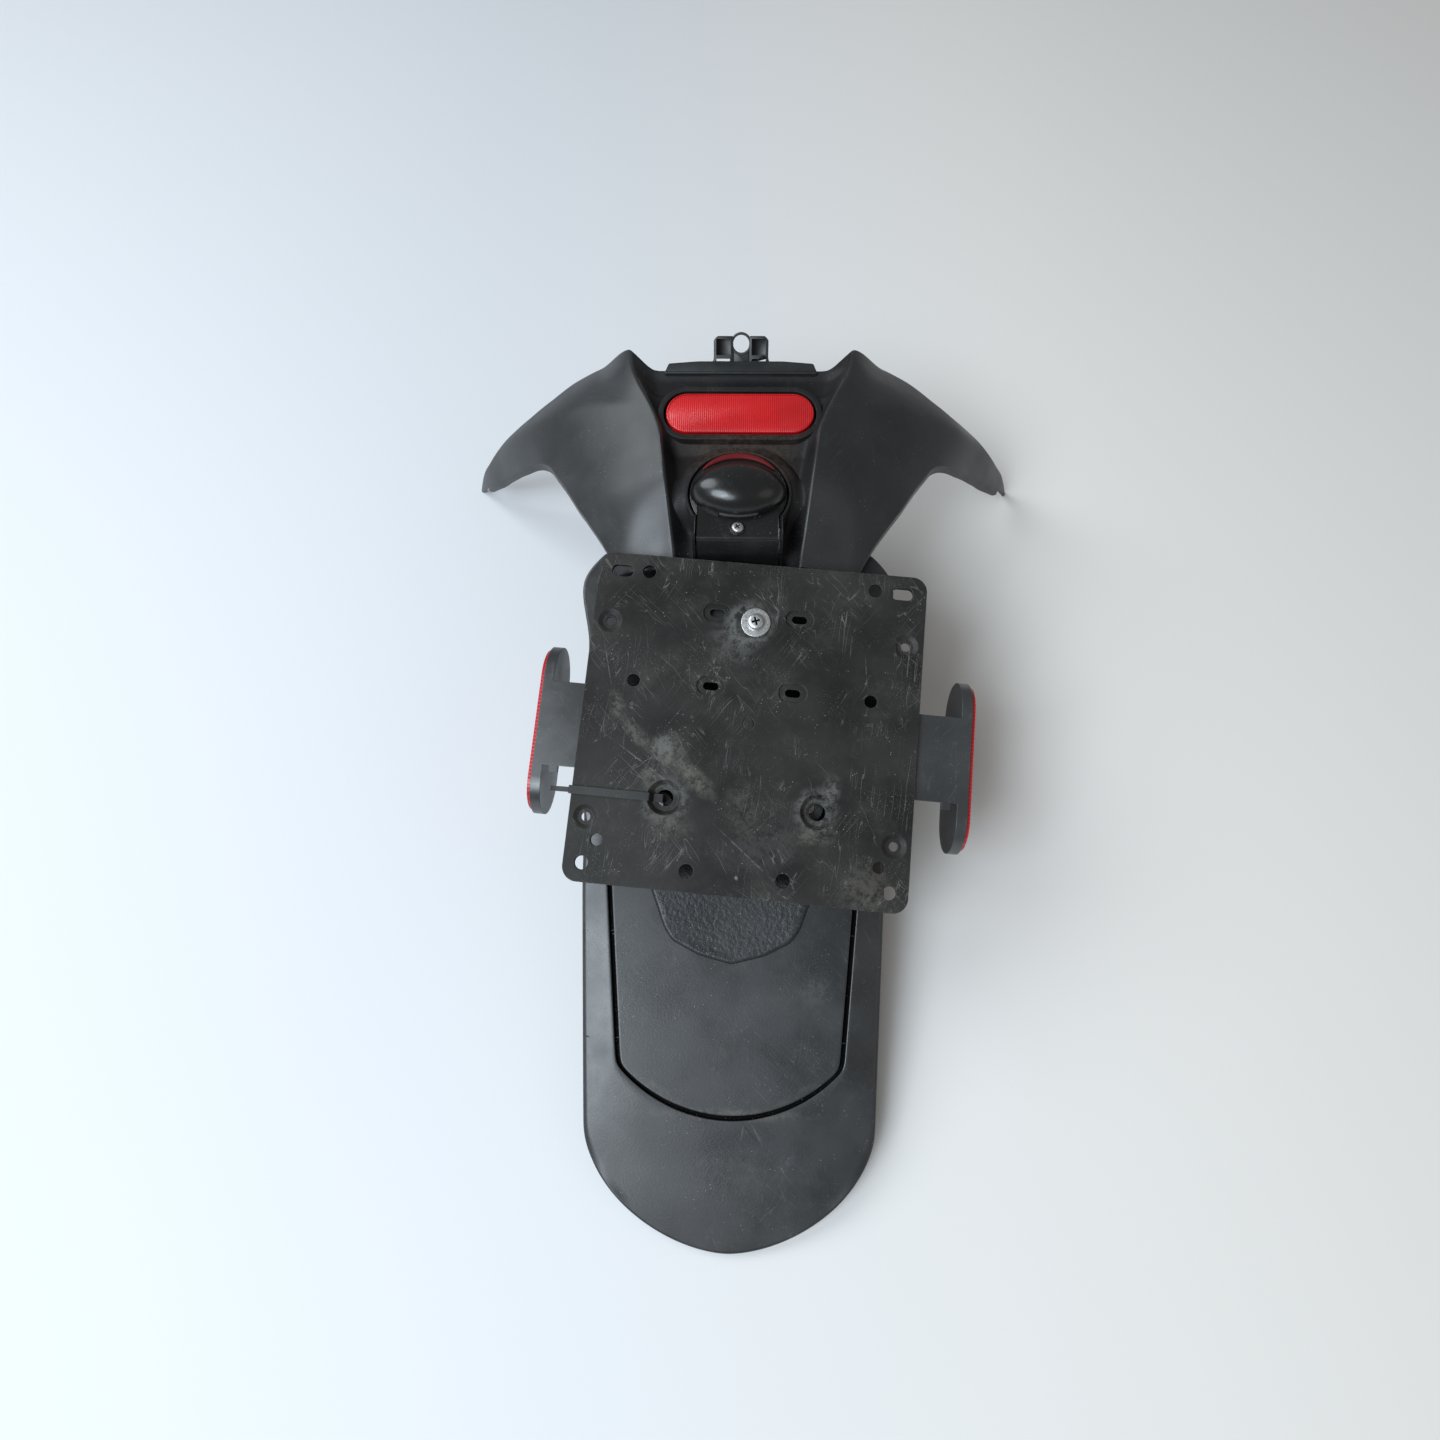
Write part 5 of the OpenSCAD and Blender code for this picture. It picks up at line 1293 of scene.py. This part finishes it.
def screw(name, radius, height, shaft_r, shaft_l, turn, at, recess_turn, replaced):
    """A finished pan head screw whose head sits on the place, with painted shade in its cross recess."""
    thing = piece_of(name, placed(rings_shell(pan_head(radius, height, shaft_r, shaft_l)), turn, at))
    arm, half = radius * 0.52, radius * 0.13
    knives = []
    for quarter in (0, 90):
        blade = slab(filleted(oblong(-arm, arm, -half, half), half * 0.6), height * 0.35, height + 2, 0.05)
        spin = turned_by("Z", recess_turn + quarter)
        knives.append(placed(placed(blade, spin, np.zeros(3)), turn, at))
    finish(cut(thing, *knives), bright_zinc, "zinc", replaced)
    local = (face_centres(thing) - at) @ turn @ turned_by("Z", recess_turn)
    off, along, up = np.abs(local[:, :2]).min(1), np.abs(local[:, :2]).max(1), local[:, 2]
    deep = (off < half * 1.05) & (along < arm * 1.02) & (up < height * 0.9) & (up > 0.3)
    second_finish(thing, recess_painted_shade, deep)


SCREW_ON_PLATE = np.array([-1.3, 63, 0])
WASHER_T = 1.4
screw_seat = PLATE_CENTRE + PLATE_TURN @ (SCREW_ON_PLATE + [0, 0, WASHER_T])
screw("carrier_screw", 5.1, 3.4, 2.9, 22, PLATE_TURN, screw_seat, 20, "plate_screw")
screw("lamp_cover_screw", 3.6, 2.2, 1.5, 18, np.eye(3), np.array([0, 113, 148.7]), 35, "lamp_screw")
washer_section = filleted(oblong(0, 5.7, 0, WASHER_T), 0.35)
washer = placed(rim(disc(3.2, 64), washer_section), PLATE_TURN, PLATE_CENTRE + PLATE_TURN @ SCREW_ON_PLATE)
finish(piece_of("carrier_washer", washer), bright_zinc, "zinc", "plate_washer")

# %% [markdown]
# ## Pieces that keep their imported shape
#
# The carrier, the stay, the lenses and the small parts are true already. They get their finish,
# and the lenses a rounded rim.

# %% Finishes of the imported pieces
def dress(name, material, bevel_mm=0.0):
    """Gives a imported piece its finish, and a rounded rim where a bevel is named."""
    thing = nodes[name]
    thing.data.materials.clear()
    thing.data.materials.append(material)
    if bevel_mm:
        step = thing.modifiers.new("round rim", "BEVEL")
        step.width, step.segments, step.limit_method = bevel_mm * TO_METRES, 4, "ANGLE"
        step.angle_limit, step.harden_normals = math.radians(50), True


dress("plate_carrier", carrier_plastic)
dress("reflector_stay", stay_plastic)
for name in ("left_side_lens", "right_side_lens"):
    dress(name, side_prisms, 0.8)
for name in ("reflector_base", "left_side_back", "right_side_back"):
    dress(name, gloss_plastic)
for name in ("reflector_nut", "side_nuts", "plate_nut", "joining_screws", "clip_nuts"):
    dress(name, bright_zinc)
dress("lamp_lens", clear_window)
dress("lamp_bulb", clear_window)
dress("lamp_socket", carrier_plastic)
dress("lamp_grommet", soft_rubber)
dress("cable_tie", nylon)
print("packed pieces with their finish:", len(nodes))

# %% [markdown]
# ## Floor and light
#
# A pale floor, three broad cool lights from the left and the front, and a weak warm one from the
# right. All four are round, so that their highlights on the dome are round. The world's even light is
# dim and only opens the shadows. The floor's colour drifts from cool on the left to warm on the
# right: painted light, in place of cool light from the left and warm light from the right.

# %% Floor
FLOOR_REACH = 6.0
# Painted light: the floor goes from a darker cool grey on the left to a lighter warm grey on the right.
COOL_SIDE, WARM_SIDE = (0.68, 0.7, 0.735), (0.82, 0.8, 0.775)
floor_mesh = bpy.data.meshes.new("floor")
corners = [(x, y, 0) for x, y in oblong(-FLOOR_REACH, FLOOR_REACH, -FLOOR_REACH, FLOOR_REACH).tolist()]
floor_mesh.from_pydata(corners, [], [(0, 1, 2, 3)])
floor = bpy.data.objects.new("floor", floor_mesh)
scene.collection.objects.link(floor)
floor_paint, tree, shader = empty_material("floor paint")
across = add(tree, "ShaderNodeSeparateXYZ", {0: own_coordinates(tree)}).outputs["X"]
mottle = noise(tree, own_coordinates(tree), 3.0, 3.0)
painted_light_share = maths(tree, "ADD", remap(tree, across, -0.3, 0.35), maths(tree, "MULTIPLY", mottle, 0.1))
tree.links.new(blend_colour(tree, painted_light_share, COOL_SIDE, WARM_SIDE), shader.inputs["Base Color"])
shader.inputs["Roughness"].default_value = 0.6
floor_mesh.materials.append(floor_paint)


# %% Lights
def soft_light(name, at, target, size, watts, colour):
    """A round area light at a place, turned to its target."""
    data = bpy.data.lights.new(name, "AREA")
    data.shape, data.size, data.energy, data.color = "DISK", size, watts, colour
    light = bpy.data.objects.new(name, data)
    scene.collection.objects.link(light)
    light.location = at
    light.rotation_mode = "QUATERNION"
    light.rotation_quaternion = (Vector(target) - Vector(at)).to_track_quat("-Z", "Y")
    print(f"{name}: {watts} W, {size} m across")


soft_light("window_light", (-1.7, 0.8, 1.7), (0, 0, 0.05), 1.6, 30, (0.88, 0.95, 1.0))
soft_light("front_light", (-1.15, -0.85, 1.75), (0, -0.05, 0.05), 1.2, 33, (0.82, 0.92, 1.0))
soft_light("low_light", (-0.75, -1.5, 1.8), (0, -0.15, 0.03), 1.0, 13, (0.82, 0.92, 1.0))
soft_light("warm_light", (1.6, -0.6, 1.3), (0, 0, 0.05), 1.2, 2, (1.0, 0.93, 0.82))
world = bpy.data.worlds.new("even light")
scene.world = world
world.use_nodes = True
backdrop = world.node_tree.nodes["Background"]
backdrop.inputs["Color"].default_value = (1.0, 0.99, 0.97, 1)
backdrop.inputs["Strength"].default_value = 0.22
scene.view_settings.view_transform = "Standard"
